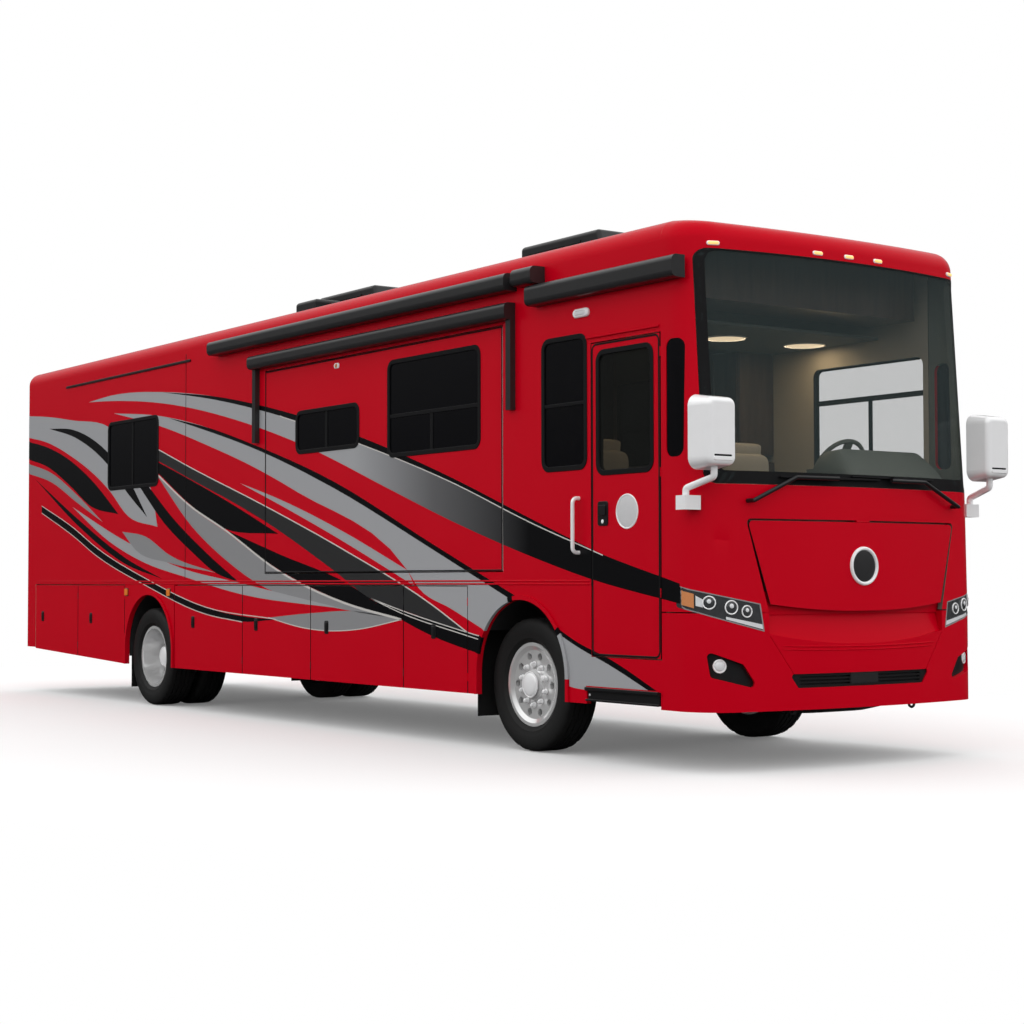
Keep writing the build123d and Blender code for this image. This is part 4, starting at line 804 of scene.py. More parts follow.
def stripes():
    outlines = stripe_outlines()
    window_holes = {group: [box_hole(*row) for row in rows] for group, rows in WINDOWS.items()}
    step_hole = box_hole(*STEP_OPENING)
    right_holes = window_holes["right"] + [node_hole("slide_room"), node_hole("entry_door")]
    skirt_holes = [arch_hole(0.0), arch_hole(REAR_X - FRONT_X)]
    stripe_film("stripes_right_wall", "right_wall", "coach", "right", right_holes, outlines)
    stripe_film("stripes_left_wall", "left_wall", "coach", "left", window_holes["left"], outlines)
    stripe_film("stripes_slide", "slide_room", "slide_out", "right", window_holes["slide"], outlines)
    stripe_film("stripes_door", "entry_door", "door", "right", window_holes["door"], outlines)
    for side in SIDES:
        holes = skirt_holes + ([step_hole, node_hole("entry_door")] if side == "right" else [])
        for number in BAYS:
            door = f"bay_door_{side}_{number}"
            holes = holes + [node_hole(door)]
            stripe_film(f"stripes_bay_{side}_{number}", door, door, side, [], outlines)
        stripe_film(f"stripes_skirt_{side}", "skirts", "coach", side, holes, outlines)
        stripe_film(f"stripes_nose_{side}", "front_cap", "coach", side, [], outlines)
        stripe_film(f"stripes_tail_{side}", "rear_cap", "coach", side, [], outlines)


stripes()


# Wheels

TREAD_HALF = 0.112
GROOVES = (0.07, 0.024)
GROOVE_HALF = 0.005
GROOVE_DEEP = 0.011
CROWN_R = 0.4775
NOTCH_EVERY = 4             # steps round the tyre from one notch to the next
NOTCH_DEEP = 0.006
NOTCH_SPAN = (0.468, 0.4755)    # radii of the notched shoulder
TYRE_SEGMENTS = 120


def wheel_hub(axle):
    """Middle of an axle, on the coach's middle line."""
    return Vector((FRONT_X if axle == "front" else REAR_X, 0, middle("front_tyre_right").z))


def tyre_half():
    """Half of a tyre's section from bead to crown: (radius, half width)."""
    side_wall = [(0.301, 0.098), (0.312, 0.112), (0.330, 0.122), (0.333, 0.126), (0.338, 0.126),
                 (0.360, 0.133), (0.392, 0.1375), (0.420, 0.1365), (0.444, 0.1315), (0.462, 0.1225),
                 (0.472, TREAD_HALF)]
    tread = [(0.4745, 0.098)]
    for groove in GROOVES:
        floor = GROOVE_HALF * 0.6
        tread += [(0.4765, groove + GROOVE_HALF), (CROWN_R - GROOVE_DEEP, groove + floor),
                  (CROWN_R - GROOVE_DEEP, groove - floor), (0.477, groove - GROOVE_HALF)]
    return side_wall + tread


def shoulder_notch(k, radius):
    """Radius of a tyre's point at a step round it, with notches in the shoulder."""
    low, high = NOTCH_SPAN
    return radius - NOTCH_DEEP if k % NOTCH_EVERY == 0 and low < radius < high else radius


def tyre(bm, centre):
    half = tyre_half()
    profile = [(r, -w) for r, w in half] + [(r, w) for r, w in half[::-1]]

    def place(r, w, angle):
        return wheel_spot(centre, r, w, angle)
    lathe(bm, profile, place, TYRE_SEGMENTS, shape=shoulder_notch)


def tyres():
    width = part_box("front_tyre_right")[1].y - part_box("front_tyre_right")[0].y
    for side in SIDES:
        bm = bmesh.new()
        tyre(bm, middle(f"front_tyre_{side}"))
        obj = piece(f"dressed_front_tyre_{side}", bm, [RUBBER], f"front_wheel_{side}", "tyre", sharp=50)
        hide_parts(f"front_tyre_{side}")
        bm = bmesh.new()
        low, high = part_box(f"rear_tyres_{side}")
        for y in (low.y + width / 2, high.y - width / 2):
            tyre(bm, Vector((REAR_X, y, middle(f"rear_tyres_{side}").z)))
        obj = piece(f"dressed_rear_tyres_{side}", bm, [RUBBER], f"rear_wheel_{side}", "tyre", sharp=50)
        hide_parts(f"rear_tyres_{side}")


LUG_COUNT = 10
# Lug rings: axle, outboard face from the coach's middle line, ring radius, hub cap face, hub cap radius
LUGS = [("front", 1.118, 0.146, 1.158, 0.085), ("rear", 0.9405, 0.192, 1.0905, 0.085)]


# Wheel nut: radius, height, corners
NUT_STEPS = [(0.021, 0.0, 24), (0.021, 0.005, 24), (0.0165, 0.006, 6), (0.0165, 0.026, 6), (0.010, 0.034, 6)]


def lug_nut(bm, centre, outward_y):
    """Six-sided nut with a collar and a domed end."""
    loops = []
    for radius, height, corners in NUT_STEPS:
        loop = []
        for angle in round_angles(24):
            reach = radius
            if corners == 6:
                offset = (angle + math.pi / 6) % (math.pi / 3) - math.pi / 6
                reach = radius * math.cos(math.pi / 6) / math.cos(offset)
            loop.append(wheel_spot(centre, reach, outward_y * height, angle))
        loops.append(loop)
    loft(bm, loops)


def wheel_trim():
    for side in SIDES:
        out = Vector((0, sign(side), 0))
        for axle, face, ring, nose, cap_r in LUGS:
            bm = bmesh.new()
            hub = wheel_hub(axle)
            for k in range(LUG_COUNT):
                angle = 2 * math.pi * (k + 0.5) / LUG_COUNT
                lug_nut(bm, wheel_spot(hub, ring, sign(side) * (face - 0.001), angle), sign(side))
            dome(bm, hub + out * (nose - 0.001), out, cap_r, 0.022, rings=7, segments=36)
            turned_ring(bm, hub + out * nose, out, cap_r + 0.004, 0.005, segments=48)
            piece(f"wheel_trim_{axle}_{side}", bm, [CHROME_PAINTED_REFLECTION], f"{axle}_wheel_{side}", "wheel_alloy")


# Brake drums behind the wheel discs: axle, inner and outer radius, inboard and outboard face across
DRUMS = [("front", 0.113, 0.24, 1.045, 1.06), ("rear", 0.163, 0.25, 0.868, 0.882)]


def brake_drums():
    edge = 0.004
    for side in SIDES:
        for axle, inner, outer, near, far in DRUMS:
            bm = bmesh.new()
            hub = wheel_hub(axle)
            profile = [(inner, near), (outer - edge, near), (outer, near + edge), (outer, far - edge),
                       (outer - edge, far), (inner, far)]

            def place(r, across, angle):
                return wheel_spot(hub, r, sign(side) * across, angle)
            lathe(bm, profile, place, 48)
            piece(f"brake_drum_{axle}_{side}", bm, [GASKET], f"{axle}_wheel_{side}", "cast_metal")


WELL_R = 0.545
WELL_WALL = 0.005
WELL_INNER_Y = 0.575
WELL_OUTER_Y = 1.237
# Ends of a well: degrees round the arch from its front; a front well stops short of the steered tyre
WELL_ENDS = {"front": (17, 145), "rear": (17, 188)}


def wheel_wells():
    """Black liners over the wheels, closed on the inner side above the axle."""
    for side in SIDES:
        for axle, x in (("front", FRONT_X), ("rear", REAR_X)):
            bm = bmesh.new()
            centre = Vector((x + ARCH_AHEAD, 0, ARCH_Z))
            first, last = WELL_ENDS[axle]
            angles = [math.radians(first + (last - first) * k / 24) for k in range(25)]

            def rim(radius, across):
                return [wheel_spot(centre, radius, sign(side) * across, a) for a in angles]
            roof = WELL_R + WELL_WALL
            edges = [rim(WELL_R, WELL_INNER_Y), rim(WELL_R, WELL_OUTER_Y), rim(roof, WELL_OUTER_Y),
                     rim(roof, WELL_INNER_Y)]
            loft(bm, [list(section) for section in zip(*edges)])
            loft(bm, [rim(roof, WELL_INNER_Y), rim(roof, WELL_INNER_Y - WELL_WALL)])
            piece(f"wheel_well_{axle}_{side}", bm, [FRAME], "coach", "frame_paint")


# Stripes over the front arches' lips: finish, then degrees round the arch
LIP_STRIPES = [(SILVER_I, 0, 33), (BLACK_I, 33, 38), (BLACK_I, 99, 105), (SILVER_I, 105, 145),
               (BLACK_I, 151, 165)]
LIP_INNER = 0.54
LIP_OUTER = 0.572
LIP_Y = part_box("skirts")[1].y


def lip_stripes():
    """Thin wraps over the lips where the side's stripes cross them."""
    film = 0.0006
    inside = 0.001
    outer = [(LIP_OUTER + film, SIDE_Y), (LIP_OUTER + film, LIP_Y + film), (LIP_INNER - film, LIP_Y + film),
             (LIP_INNER - film, SIDE_Y - 0.01)]
    inner = [(LIP_INNER + inside, SIDE_Y - 0.01), (LIP_INNER + inside, LIP_Y - inside),
             (LIP_OUTER - inside, LIP_Y - inside), (LIP_OUTER - inside, SIDE_Y)]
    centre = Vector((at(ARCH_AHEAD), 0, ARCH_Z))
    for side in SIDES:
        bm = bmesh.new()
        for finish, first, last in LIP_STRIPES:
            loops = []
            for k in range(13):
                angle = math.radians(first + (last - first) * k / 12)
                loops.append([wheel_spot(centre, r, sign(side) * y, angle) for r, y in outer + inner])
            loft(bm, loops, finish)
        piece(f"lip_stripes_{side}", bm, FINISHES, "coach", "body_paint")


tyres()
wheel_trim()
brake_drums()
wheel_wells()
lip_stripes()


# Front end

BOW_R = 5.7
CORNER_R = 0.28
MASK_RAKE = 0.02
MASK_Z = 1.02
CORNER_BACK = 0.372     # corner's middle behind the nose
WAIST_Z = 1.82
SCREEN_RAKE = 0.068
WAIST_BACK = 0.016      # foot of the windshield's surface behind the nose
# Ends of a line under the right headlamp: distance from the front axle and place across
CHORD_INNER = (2.085, -0.84)
CHORD_OUTER = (1.745, -1.275)
CHORD_Z = 1.05
PATCH_HEIGHTS = (-0.002, 0.0015)    # inner and outer face of a patch off the lamp's surface


def nose_x(z):
    """Foremost x of the front at a height."""
    if z > WAIST_Z:
        return NOSE_X - WAIST_BACK - SCREEN_RAKE * (z - WAIST_Z)
    return NOSE_X - MASK_RAKE * max(z - MASK_Z, 0)


def front_x(y, z):
    """Front surface of the coach at a place across it, round the corner too."""
    nose = nose_x(z)
    bowed = nose - (BOW_R - math.sqrt(BOW_R ** 2 - y * y))
    past = abs(y) - (SIDE_Y - CORNER_R)
    if past <= 0:
        return bowed
    rounded_x = nose - CORNER_BACK + math.sqrt(max(CORNER_R ** 2 - past * past, 0))
    return min(bowed, rounded_x)


def front_normal(y, z):
    step = 0.004
    across = Vector((front_x(y + step, z) - front_x(y - step, z), 2 * step, 0))
    rise = Vector((front_x(y, z + step) - front_x(y, z - step), 0, 2 * step))
    return across.cross(rise).normalized()


def front_spot(y, z, height=0.0):
    return Vector((front_x(y, z), y, z)) + front_normal(y, z) * height


def chord_y(along, side):
    """Side position on the nose where a line square to the lamp's chord leaves the body."""
    start = Vector(CHORD_INNER)
    run = (Vector(CHORD_OUTER) - start).normalized()
    out = Vector((-run.y, run.x))
    best = start + run * along
    for k in range(80):
        spot = start + run * along + out * (0.002 * k)
        if abs(spot.y) < SIDE_Y and at(spot.x) < front_x(spot.y, CHORD_Z):
            best = spot
    return -best.y * sign(side)


def lamp_patch(bm, side, outline, slot):
    """Patch of the headlamp's surface between corners given by distance along its chord and height."""
    (a0, z00, z01), (a1, z10, z11) = outline
    cells = 8
    rows = []
    for height in PATCH_HEIGHTS:
        grid = []
        for i in range(cells + 1):
            t = i / cells
            y = chord_y(a0 + (a1 - a0) * t, side)
            foot = z00 + (z10 - z00) * t
            head = z01 + (z11 - z01) * t
            heights = [foot + (head - foot) * j / 2 for j in range(3)]
            grid.append([bm.verts.new(front_spot(y, z, height)) for z in heights])
        rows.append(grid)
    low_grid, high_grid = rows
    for grid in rows:
        for i in range(cells):
            for j in range(2):
                corners = (grid[i][j], grid[i + 1][j], grid[i + 1][j + 1], grid[i][j + 1])
                bm.faces.new(corners).material_index = slot
    rim = [(i, 0) for i in range(cells + 1)] + [(cells, 1), (cells, 2)]
    rim += [(i, 2) for i in range(cells - 1, -1, -1)] + [(0, 1)]
    for (i, j), (m, n) in zip(rim, rim[1:] + rim[:1]):
        corners = (low_grid[i][j], low_grid[m][n], high_grid[m][n], high_grid[i][j])
        bm.faces.new(corners).material_index = slot


# Headlamp outline and projectors, by distance along the lamp's chord and height
LAMP_CORNERS = [(-0.01, 0.895), (0.19, 0.95), (0.545, 1.05), (0.552, 1.184), (0.015, 1.072)]
LAMP_RIM = 0.007
PROJECTORS = [(0.345, 1.08, 0.036), (0.205, 1.05, 0.038), (0.105, 1.024, 0.032)]
# Patches of the lamp: material, then distance, foot and head at its inner and its outer end
LAMP_PATCHES = [
    (0, ((0.44, 1.045, 1.135), (0.535, 1.07, 1.16))),
    (1, ((0.0, 0.91, 0.94), (0.24, 0.975, 0.992))),
    (1, ((0.385, 1.05, 1.1), (0.43, 1.06, 1.125))),
]


def inset(corners, reach):
    """Convex outline moved inwards."""
    moved = []
    count = len(corners)
    for i in range(count):
        before, here, after = (Vector(corners[(i + k) % count]) for k in (-1, 0, 1))
        first = (here - before).normalized()
        second = (after - here).normalized()
        inward = Vector((-first.y - second.y, first.x + second.x)).normalized()
        moved.append(here + inward * (reach / max(0.3, abs(inward.dot(Vector((-first.y, first.x)))))))
    return moved


def along_edges(corners, per):
    """Points at even steps along each edge of an outline."""
    corners = [Vector(c) for c in corners]
    points = []
    for a, b in zip(corners, corners[1:] + corners[:1]):
        points += [a.lerp(b, k / per) for k in range(per)]
    return points


def lamp_rim(bm, side, slot):
    outer = along_edges(LAMP_CORNERS, 8)
    inner = along_edges(inset(LAMP_CORNERS, LAMP_RIM), 8)
    loops = []
    for outline, height in ((outer, -0.003), (outer, 0.0015), (inner, 0.0015), (inner, -0.003)):
        loops.append([front_spot(chord_y(p.x, side), p.y, height) for p in outline])
    loft(bm, loops, slot, closed=True)


def headlamps():
    materials = [LAMP_AMBER, LAMP_CLEAR, LAMP_SMOKE, CHROME_PAINTED_REFLECTION, GREY]
    for side in SIDES:
        bm = bmesh.new()
        for slot, outline in LAMP_PATCHES:
            lamp_patch(bm, side, outline, slot)
        for along, z, radius in PROJECTORS:
            y = chord_y(along, side)
            out = front_normal(y, z)
            dome(bm, front_spot(y, z, -0.004), out, radius, 0.012, 2)
            # Small clear dome set high in each projector: a painted highlight.
            dome(bm, front_spot(y, z + radius * 0.2, 0.003), out, radius * 0.45, 0.008, 1)
            turned_ring(bm, front_spot(y, z, 0.001), out, radius + 0.004, 0.0045, 3)
        lamp_rim(bm, side, 4)
        piece(f"headlamp_dress_{side}", bm, materials, "coach", "lamp_clear")


FOG_R = 0.036


def fog_trim():
    """Bright bezel and lens on each fog lamp."""
    bm = bmesh.new()
    for side in SIDES:
        ends = [f for f in nodes["front_lamps"].data.polygons
                if f.center.z < FOG_HEAD_Z and f.center.y * sign(side) > 0 and f.normal.x > 0.5]
        flat = max(ends, key=lambda f: f.area).normal
        ends = [f for f in ends if f.normal.dot(flat) > 0.99]
        total = sum(f.area for f in ends)
        centre = sum((f.center * f.area for f in ends), Vector()) / total
        dome(bm, centre - flat * 0.002, flat, FOG_R, 0.016, 0)
        turned_ring(bm, centre, flat, FOG_R + 0.003, 0.006, 1)
    piece("fog_lamp_lenses", bm, [LAMP_CLEAR, CHROME_PAINTED_REFLECTION], "coach", "lamp_clear")


# Windshield: half width, foot, head, corner
SCREEN_HALF = 1.21
SCREEN_Z0 = 1.83
SCREEN_Z1 = 3.34
SCREEN_R = 0.07
SCREEN_SET = 0.005      # glass behind the body's surface
SCREEN_EDGE = 0.003
SCREEN_BORDER = (0.055, 0.085, 0.012)   # width of the border at the sides, foot and head


def screen_loop(inset_side, inset_foot, inset_head):
    outline = rounded(-SCREEN_HALF + inset_side, SCREEN_HALF - inset_side, SCREEN_Z0 + inset_foot,
                      SCREEN_Z1 - inset_head, SCREEN_R, per=8)
    dense = []
    for (y0, z0), (y1, z1) in zip(outline, outline[1:] + outline[:1]):
        steps = max(1, int(math.hypot(y1 - y0, z1 - z0) / 0.08))
        dense += [(y0 + (y1 - y0) * k / steps, z0 + (z1 - z0) * k / steps) for k in range(steps)]
    return dense


def screen_ring(bm, inner, heights):
    """Band round the windshield from its edge to the inner insets, at two heights off the body."""
    count = 160
    outer = resample(screen_loop(SCREEN_EDGE, SCREEN_EDGE, SCREEN_EDGE), count)
    inside = resample(screen_loop(*inner), count)
    low, high = heights
    loops = []
    for outline, height in ((outer, low), (outer, high), (inside, high), (inside, low)):
        loops.append([front_spot(y, z, height) for y, z in outline])
    loft(bm, loops, closed=True)


def resample(outline, count):
    """Even points round a closed outline, starting at its first point."""
    points = [Vector(p) for p in outline]
    runs = [(b - a).length for a, b in zip(points, points[1:] + points[:1])]
    total = sum(runs)
    even = []
    i, passed = 0, 0.0
    for k in range(count):
        goal = total * k / count
        while passed + runs[i] < goal:
            passed += runs[i]
            i += 1
        t = (goal - passed) / runs[i]
        even.append(points[i].lerp(points[(i + 1) % len(points)], t))
    return even


def windshield_trim():
    bm = bmesh.new()
    screen_ring(bm, SCREEN_BORDER, (-SCREEN_SET - 0.0005, -SCREEN_SET + 0.002))
    piece("windshield_border", bm, [GASKET], "coach", "black_trim")


HOOD_BADGE_Z = 1.313
HOOD_BADGE_R = 0.112


def hood_badge():
    """Plain disc on the hood, inside a bright ring."""
    bm = bmesh.new()
    centre = front_spot(0, HOOD_BADGE_Z, 0)
    out = front_normal(0, HOOD_BADGE_Z)
    dome(bm, centre - out * 0.003, out, HOOD_BADGE_R, 0.014, 0, rings=8, segments=48)
    turned_ring(bm, centre + out * 0.002, out, HOOD_BADGE_R + 0.004, 0.0125, 1, segments=64)
    piece("hood_badge", bm, [CHARCOAL, CHROME_PAINTED_REFLECTION], "hood", "bright_trim")


# Marker lamps on the brow: places across it
BROW_LAMPS = (-1.1, -0.28, 0.0, 0.28, 1.1)
BROW_Z = 3.372
# Bezel and lens of a brow lamp: half width, half height, depth, material
BROW_PARTS = [(0.044, 0.014, 0.008, 0), (0.036, 0.0095, 0.014, 1)]


def brow_lamps():
    bm = bmesh.new()
    for y in BROW_LAMPS:
        foot = front_spot(y, BROW_Z)
        out = front_normal(y, BROW_Z)
        across = Vector((0, 0, 1)).cross(out).normalized()
        up = out.cross(across)

        def place(u, v, height):
            return foot + across * u + up * v + out * height
        for reach, rise, depth, slot in BROW_PARTS:
            steps = [(0, -0.01), (0, depth - 0.004), (0.005, depth)]
            stepped(bm, place, (-reach, reach, -rise, rise), rise - 0.0005, steps, slot)
    piece("brow_lamps", bm, [CHROME_PAINTED_REFLECTION, LAMP_GLOW], "coach", "lamp_clear")


# Strip behind the hood: half its width, foot and head, then its depths behind the surface
SILL = (0.845, 1.0, 1.15)
SILL_DEPTHS = (0.062, 0.052)
BEAD_HALF = 0.72
BEAD_Z = (0.79, 0.768)
BEAD_R = 0.005


def places_across(half, count):
    """Even places across the coach, from one end to the other."""
    return [half * (2 * k / count - 1) for k in range(count + 1)]


def hood_sill():
    """Painted strip behind the hood's lower edge."""
    bm = bmesh.new()
    half, foot, head = SILL
    deep, near = SILL_DEPTHS
    loops = []
    for y in places_across(half, 24):
        x = front_x(y, foot)
        section = [(near, foot), (near, head), (deep, head), (deep, foot)]
        loops.append([Vector((x - depth, y, z)) for depth, z in section])
    loft(bm, loops)
    piece("hood_sill", bm, [RED], "coach", "body_paint")


def bumper_beads():
    """Two pressed beads across the bumper under its shelf."""
    bm = bmesh.new()
    for z in BEAD_Z:
        loops = []
        for y in places_across(BEAD_HALF, 24):
            r = BEAD_R * math.sqrt(1 - 0.98 * (y / BEAD_HALF) ** 8)
            lift = 0.012 * (y / BEAD_HALF) ** 2
            centre = Vector((front_x(y, z), y, z + lift))
            loops.append([wheel_spot(centre, r, 0, a) for a in round_angles(10)])
        loft(bm, loops)
    piece("bumper_beads", bm, [RED], "coach", "body_paint")


GRILLE_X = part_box("grille")[1].x
# Cover in the grille: half width, foot and head
COVER = (0.13, 0.545, 0.628)
# Towing eyes: distance from the front axle, place across, height, radius, thickness
TOW_EYE = (2.05, 0.55, 0.386, 0.024, 0.009)


def grille_plate():
    """Plain cover in the middle of the grille, and the towing eyes under the bumper."""
    bm = bmesh.new()
    half, foot, head = COVER
    plate(bm, (GRILLE_X - 0.012, -half, foot), (GRILLE_X + 0.003, half, head), 0.004)
    piece("grille_cover", bm, [AWNING_BLACK_PAINTED_SHEEN], "coach", "black_trim")
    bm = bmesh.new()
    x, y, z, radius, thick = TOW_EYE
    for side in SIDES:
        turned_ring(bm, (at(x), sign(side) * y, z), (0, 1, 0), radius, thick)
    piece("towing_eyes", bm, [CAST], "coach", "cast_metal")


MIRROR_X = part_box("mirrors")[1].x
MIRROR_Y = 1.276
# Slot and lip on a mirror: half width, foot, head, height off the face, material
MIRROR_PARTS = [(0.072, 1.988, 2.0, 0.001, 1), (0.076, 1.962, 1.984, 0.006, 0)]


def mirror_trim():
    """Dark slot and bright lip low on the face of each mirror."""
    bm = bmesh.new()

    def place(y, z, height):
        return Vector((MIRROR_X + height, y, z))
    for side in SIDES:
        y = sign(side) * MIRROR_Y
        for half, z0, z1, height, slot in MIRROR_PARTS:
            steps = [(0, -0.004), (0, height * 0.5), (0.002, height)]
            stepped(bm, place, (y - half, y + half, z0, z1), 0.0055, steps, slot)
    piece("mirror_trim", bm, [CHROME_PAINTED_REFLECTION, GASKET], "coach", "bright_trim")


# Wiper blades: one end and the other across, height, link to the arm across
BLADES = [(-0.7, 0.16, 1.882, -0.28), (-0.1, 0.72, 1.9, 0.28)]


BLADE_STEPS = 16


def wiper_blades():
    """Rubber lip under a carrier, along the foot of the glass, with a link to each arm."""
    bm = bmesh.new()
    arm_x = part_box("wipers")[1].x - 0.008
    for y0, y1, z, link in BLADES:
        loops = []
        for k in range(BLADE_STEPS + 1):
            t = k / BLADE_STEPS
            y = y0 + (y1 - y0) * t
            slim = 0.55 + 0.45 * math.sin(math.pi * t)
            section = [(0.002, -SCREEN_SET), (0.002, 0.008), (0.008 * slim, 0.01), (0.007 * slim, 0.02)]
            section = section + [(-w, h) for w, h in section[::-1]]
            loops.append([front_spot(y, z, h) + Vector((0, 0, w)) for w, h in section])
        loft(bm, loops)
        low = front_spot(link, z, 0.015).x
        plate(bm, (low, link - 0.02, z - 0.006), (arm_x, link + 0.02, z + 0.008), 0.002)
    piece("wiper_blades", bm, [BLACK], "coach", "black_trim")


headlamps()
fog_trim()
windshield_trim()
hood_badge()
brow_lamps()
hood_sill()
bumper_beads()
grille_plate()
mirror_trim()
wiper_blades()


# Trim on the sides

# Bay latches: door number, distance from the front axle
LATCHES = [(6, -9.042), (5, -7.695), (4, -5.258), (3, -3.985), (2, -2.726), (1, -1.089)]
LATCH_Z = 0.835
# Plate and paddle of a latch: half width, reach down and up, corner, inner and outer height off the face
LATCH_PARTS = [(0.032, 0.055, 0.055, 0.014, -0.001, 0.005), (0.02, 0.035, 0.04, 0.010, 0.004, 0.012)]
OUT_RIGHT = (0, -1, 0)
DOOR_BADGE = (1.26, 1.676)
DOOR_BADGE_R = 0.108
SIDE_MARKER_Z = 1.11
# Side markers: distances from the front axle; the right side has none ahead of the door
MARKERS = {"right": (-6.78, -5.79), "left": (-6.78, -5.79, 1.7)}
# Plate and lens of a marker: half width, half height, corner, inner and outer height off the face, material
MARKER_PARTS = [(0.038, 0.04, 0.012, -0.001, 0.005, 1), (0.032, 0.034, 0.009, 0.004, 0.016, 0)]
# Plates on a side: rear end, front end, foot, head, corner, inner and outer height, material, soft edge
DOOR_LATCH = [(0.95, 1.06, 1.586, 1.751, 0.02, -0.001, 0.008),
              (0.965, 1.045, 1.655, 1.725, 0.012, 0.007, 0.02)]
SLIDE_LAMP = (-2.6, -2.52, 2.975, 3.02, 0.02, -0.001, 0.008)
PORCH_LAMP = [(0.69, 0.865, 3.014, 3.074, 0.03, -0.001, 0.02, 0, 0.008),
              (0.72, 0.835, 3.028, 3.06, 0.016, 0.015, 0.026, 1, 0.005)]
BELT_RIDGES = [(-9.24, 0.86, 1.19, 1.202, 0.003, -0.001, 0.005),
               (-9.24, 0.86, 1.212, 1.224, 0.003, -0.001, 0.005)]
DRIP_RAIL = [(0.83, 1.6, 2.858, 2.876, 0.006, -0.001, 0.014)]
ROOF_STRIP = [(-8.395, -5.327, 3.298, 3.322, 0.008, -0.001, 0.012)]
WALL_SEAM = [(-5.436, -5.428, 1.24, 3.38, 0.002, -0.001, 0.0022, 0, 0.0005)]
# Pieces of plates alone: name, sides, plates, materials, slot
PLATE_PIECES = [
    ("porch_lamp", ["right"], PORCH_LAMP, [CHROME_PAINTED_REFLECTION, LAMP_CLEAR], "lamp_clear"),
    ("belt_ridges_right", ["right"], BELT_RIDGES, [RED], "body_paint"),
    ("belt_ridges_left", ["left"], BELT_RIDGES, [RED], "body_paint"),
    ("drip_rail", ["right"], DRIP_RAIL, [RED], "body_paint"),
    ("roof_side_strip", ["right"], ROOF_STRIP, [BLACK], "black_trim"),
    ("wall_seams", SIDES, WALL_SEAM, [GASKET], "black_trim"),
]


def bay_latches():
    for side in SIDES:
        for number, x in LATCHES:
            bm = bmesh.new()
            for half, down, up, r, low, high in LATCH_PARTS:
                side_slab(bm, side, x - half, x + half, LATCH_Z - down, LATCH_Z + up, r, low, high)
            piece(f"bay_latch_{side}_{number}", bm, [BLACK], f"bay_door_{side}_{number}", "black_trim")


def door_trim():
    low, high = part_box("entry_door")
    x0, x1 = low.x - FRONT_X, high.x - FRONT_X
    bm = bmesh.new()
    side_ring(bm, "right", x0, x1, low.z, high.z, 0.05, 0.016, -0.001, -0.001, 0.003)
    piece("door_seal", bm, [GASKET], "door", "black_trim")
    bm = bmesh.new()
    for row in DOOR_LATCH:
        side_slab(bm, "right", *row)
    dome(bm, side_place("right", 1.005, 1.615, 0.008), OUT_RIGHT, 0.014, 0.004, 1)
    piece("door_latch", bm, [BLACK, CHROME_PAINTED_REFLECTION], "door", "black_trim")
    bm = bmesh.new()
    centre = side_place("right", *DOOR_BADGE, -0.0005)
    dome(bm, centre, OUT_RIGHT, DOOR_BADGE_R, 0.008, 0, rings=8, segments=48)
    turned_ring(bm, centre, OUT_RIGHT, DOOR_BADGE_R + 0.003, 0.006, 1, segments=64)
    piece("door_badge", bm, [BADGE, CHROME_PAINTED_REFLECTION], "door", "bright_trim")


def slide_trim():
    low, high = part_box("slide_room")
    bm = bmesh.new()
    x0, x1 = low.x - FRONT_X, high.x - FRONT_X
    side_ring(bm, "right", x0, x1, low.z, high.z, 0.012, 0.012, -0.001, -0.001, 0.003)
    piece("slide_seal", bm, [GASKET], "slide_out", "black_trim")
    bm = bmesh.new()
    side_slab(bm, "right", *SLIDE_LAMP)
    dome(bm, side_place("right", -2.56, 2.997, 0.007), OUT_RIGHT, 0.018, 0.012, 1)
    piece("slide_lamp", bm, [CHROME_PAINTED_REFLECTION, LAMP_AMBER], "slide_out", "lamp_clear")


def side_markers():
    for side in SIDES:
        bm = bmesh.new()
        for x in MARKERS[side]:
            for half, tall, r, low, high, slot in MARKER_PARTS:
                extent = (x - half, x + half, SIDE_MARKER_Z - tall, SIDE_MARKER_Z + tall)
                side_slab(bm, side, *extent, r, low, high, slot)
        piece(f"side_markers_{side}", bm, [LAMP_ORANGE, BLACK], "coach", "lamp_clear")


def plate_pieces():
    """Porch lamp, belt ridges, rails and seams."""
    for name, sides, rows, materials, slot in PLATE_PIECES:
        bm = bmesh.new()
        for side in sides:
            for row in rows:
                side_slab(bm, side, *row)
        piece(name, bm, materials, "coach", slot)


# Tray under the nose: distance from the front axle and height of its lower face
TRAY = [(2.09, 0.395), (1.86, 0.34), (1.74, 0.335), (1.5, 0.4)]
TRAY_HALF = 0.42
TRAY_HEAD = 0.4
TRAY_WALL = 0.006


def under_tray():
    """Black tray from the bumper back to the frame."""
    bm = bmesh.new()
    loops = []
    for y in places_across(TRAY_HALF, 12):
        rise = 0.03 * (abs(y) / TRAY_HALF) ** 6
        lower = [Vector((at(x), y, min(z + rise, TRAY_HEAD))) for x, z in TRAY]
        loops.append(lower + [p + Vector((0, 0, TRAY_WALL)) for p in lower[::-1]])
    loft(bm, loops)
    piece("under_tray", bm, [BLACK], "coach", "black_trim")


STEP_RIBS = (0.05, 0.12, 0.19, 0.26)    # places inboard of the coach's side


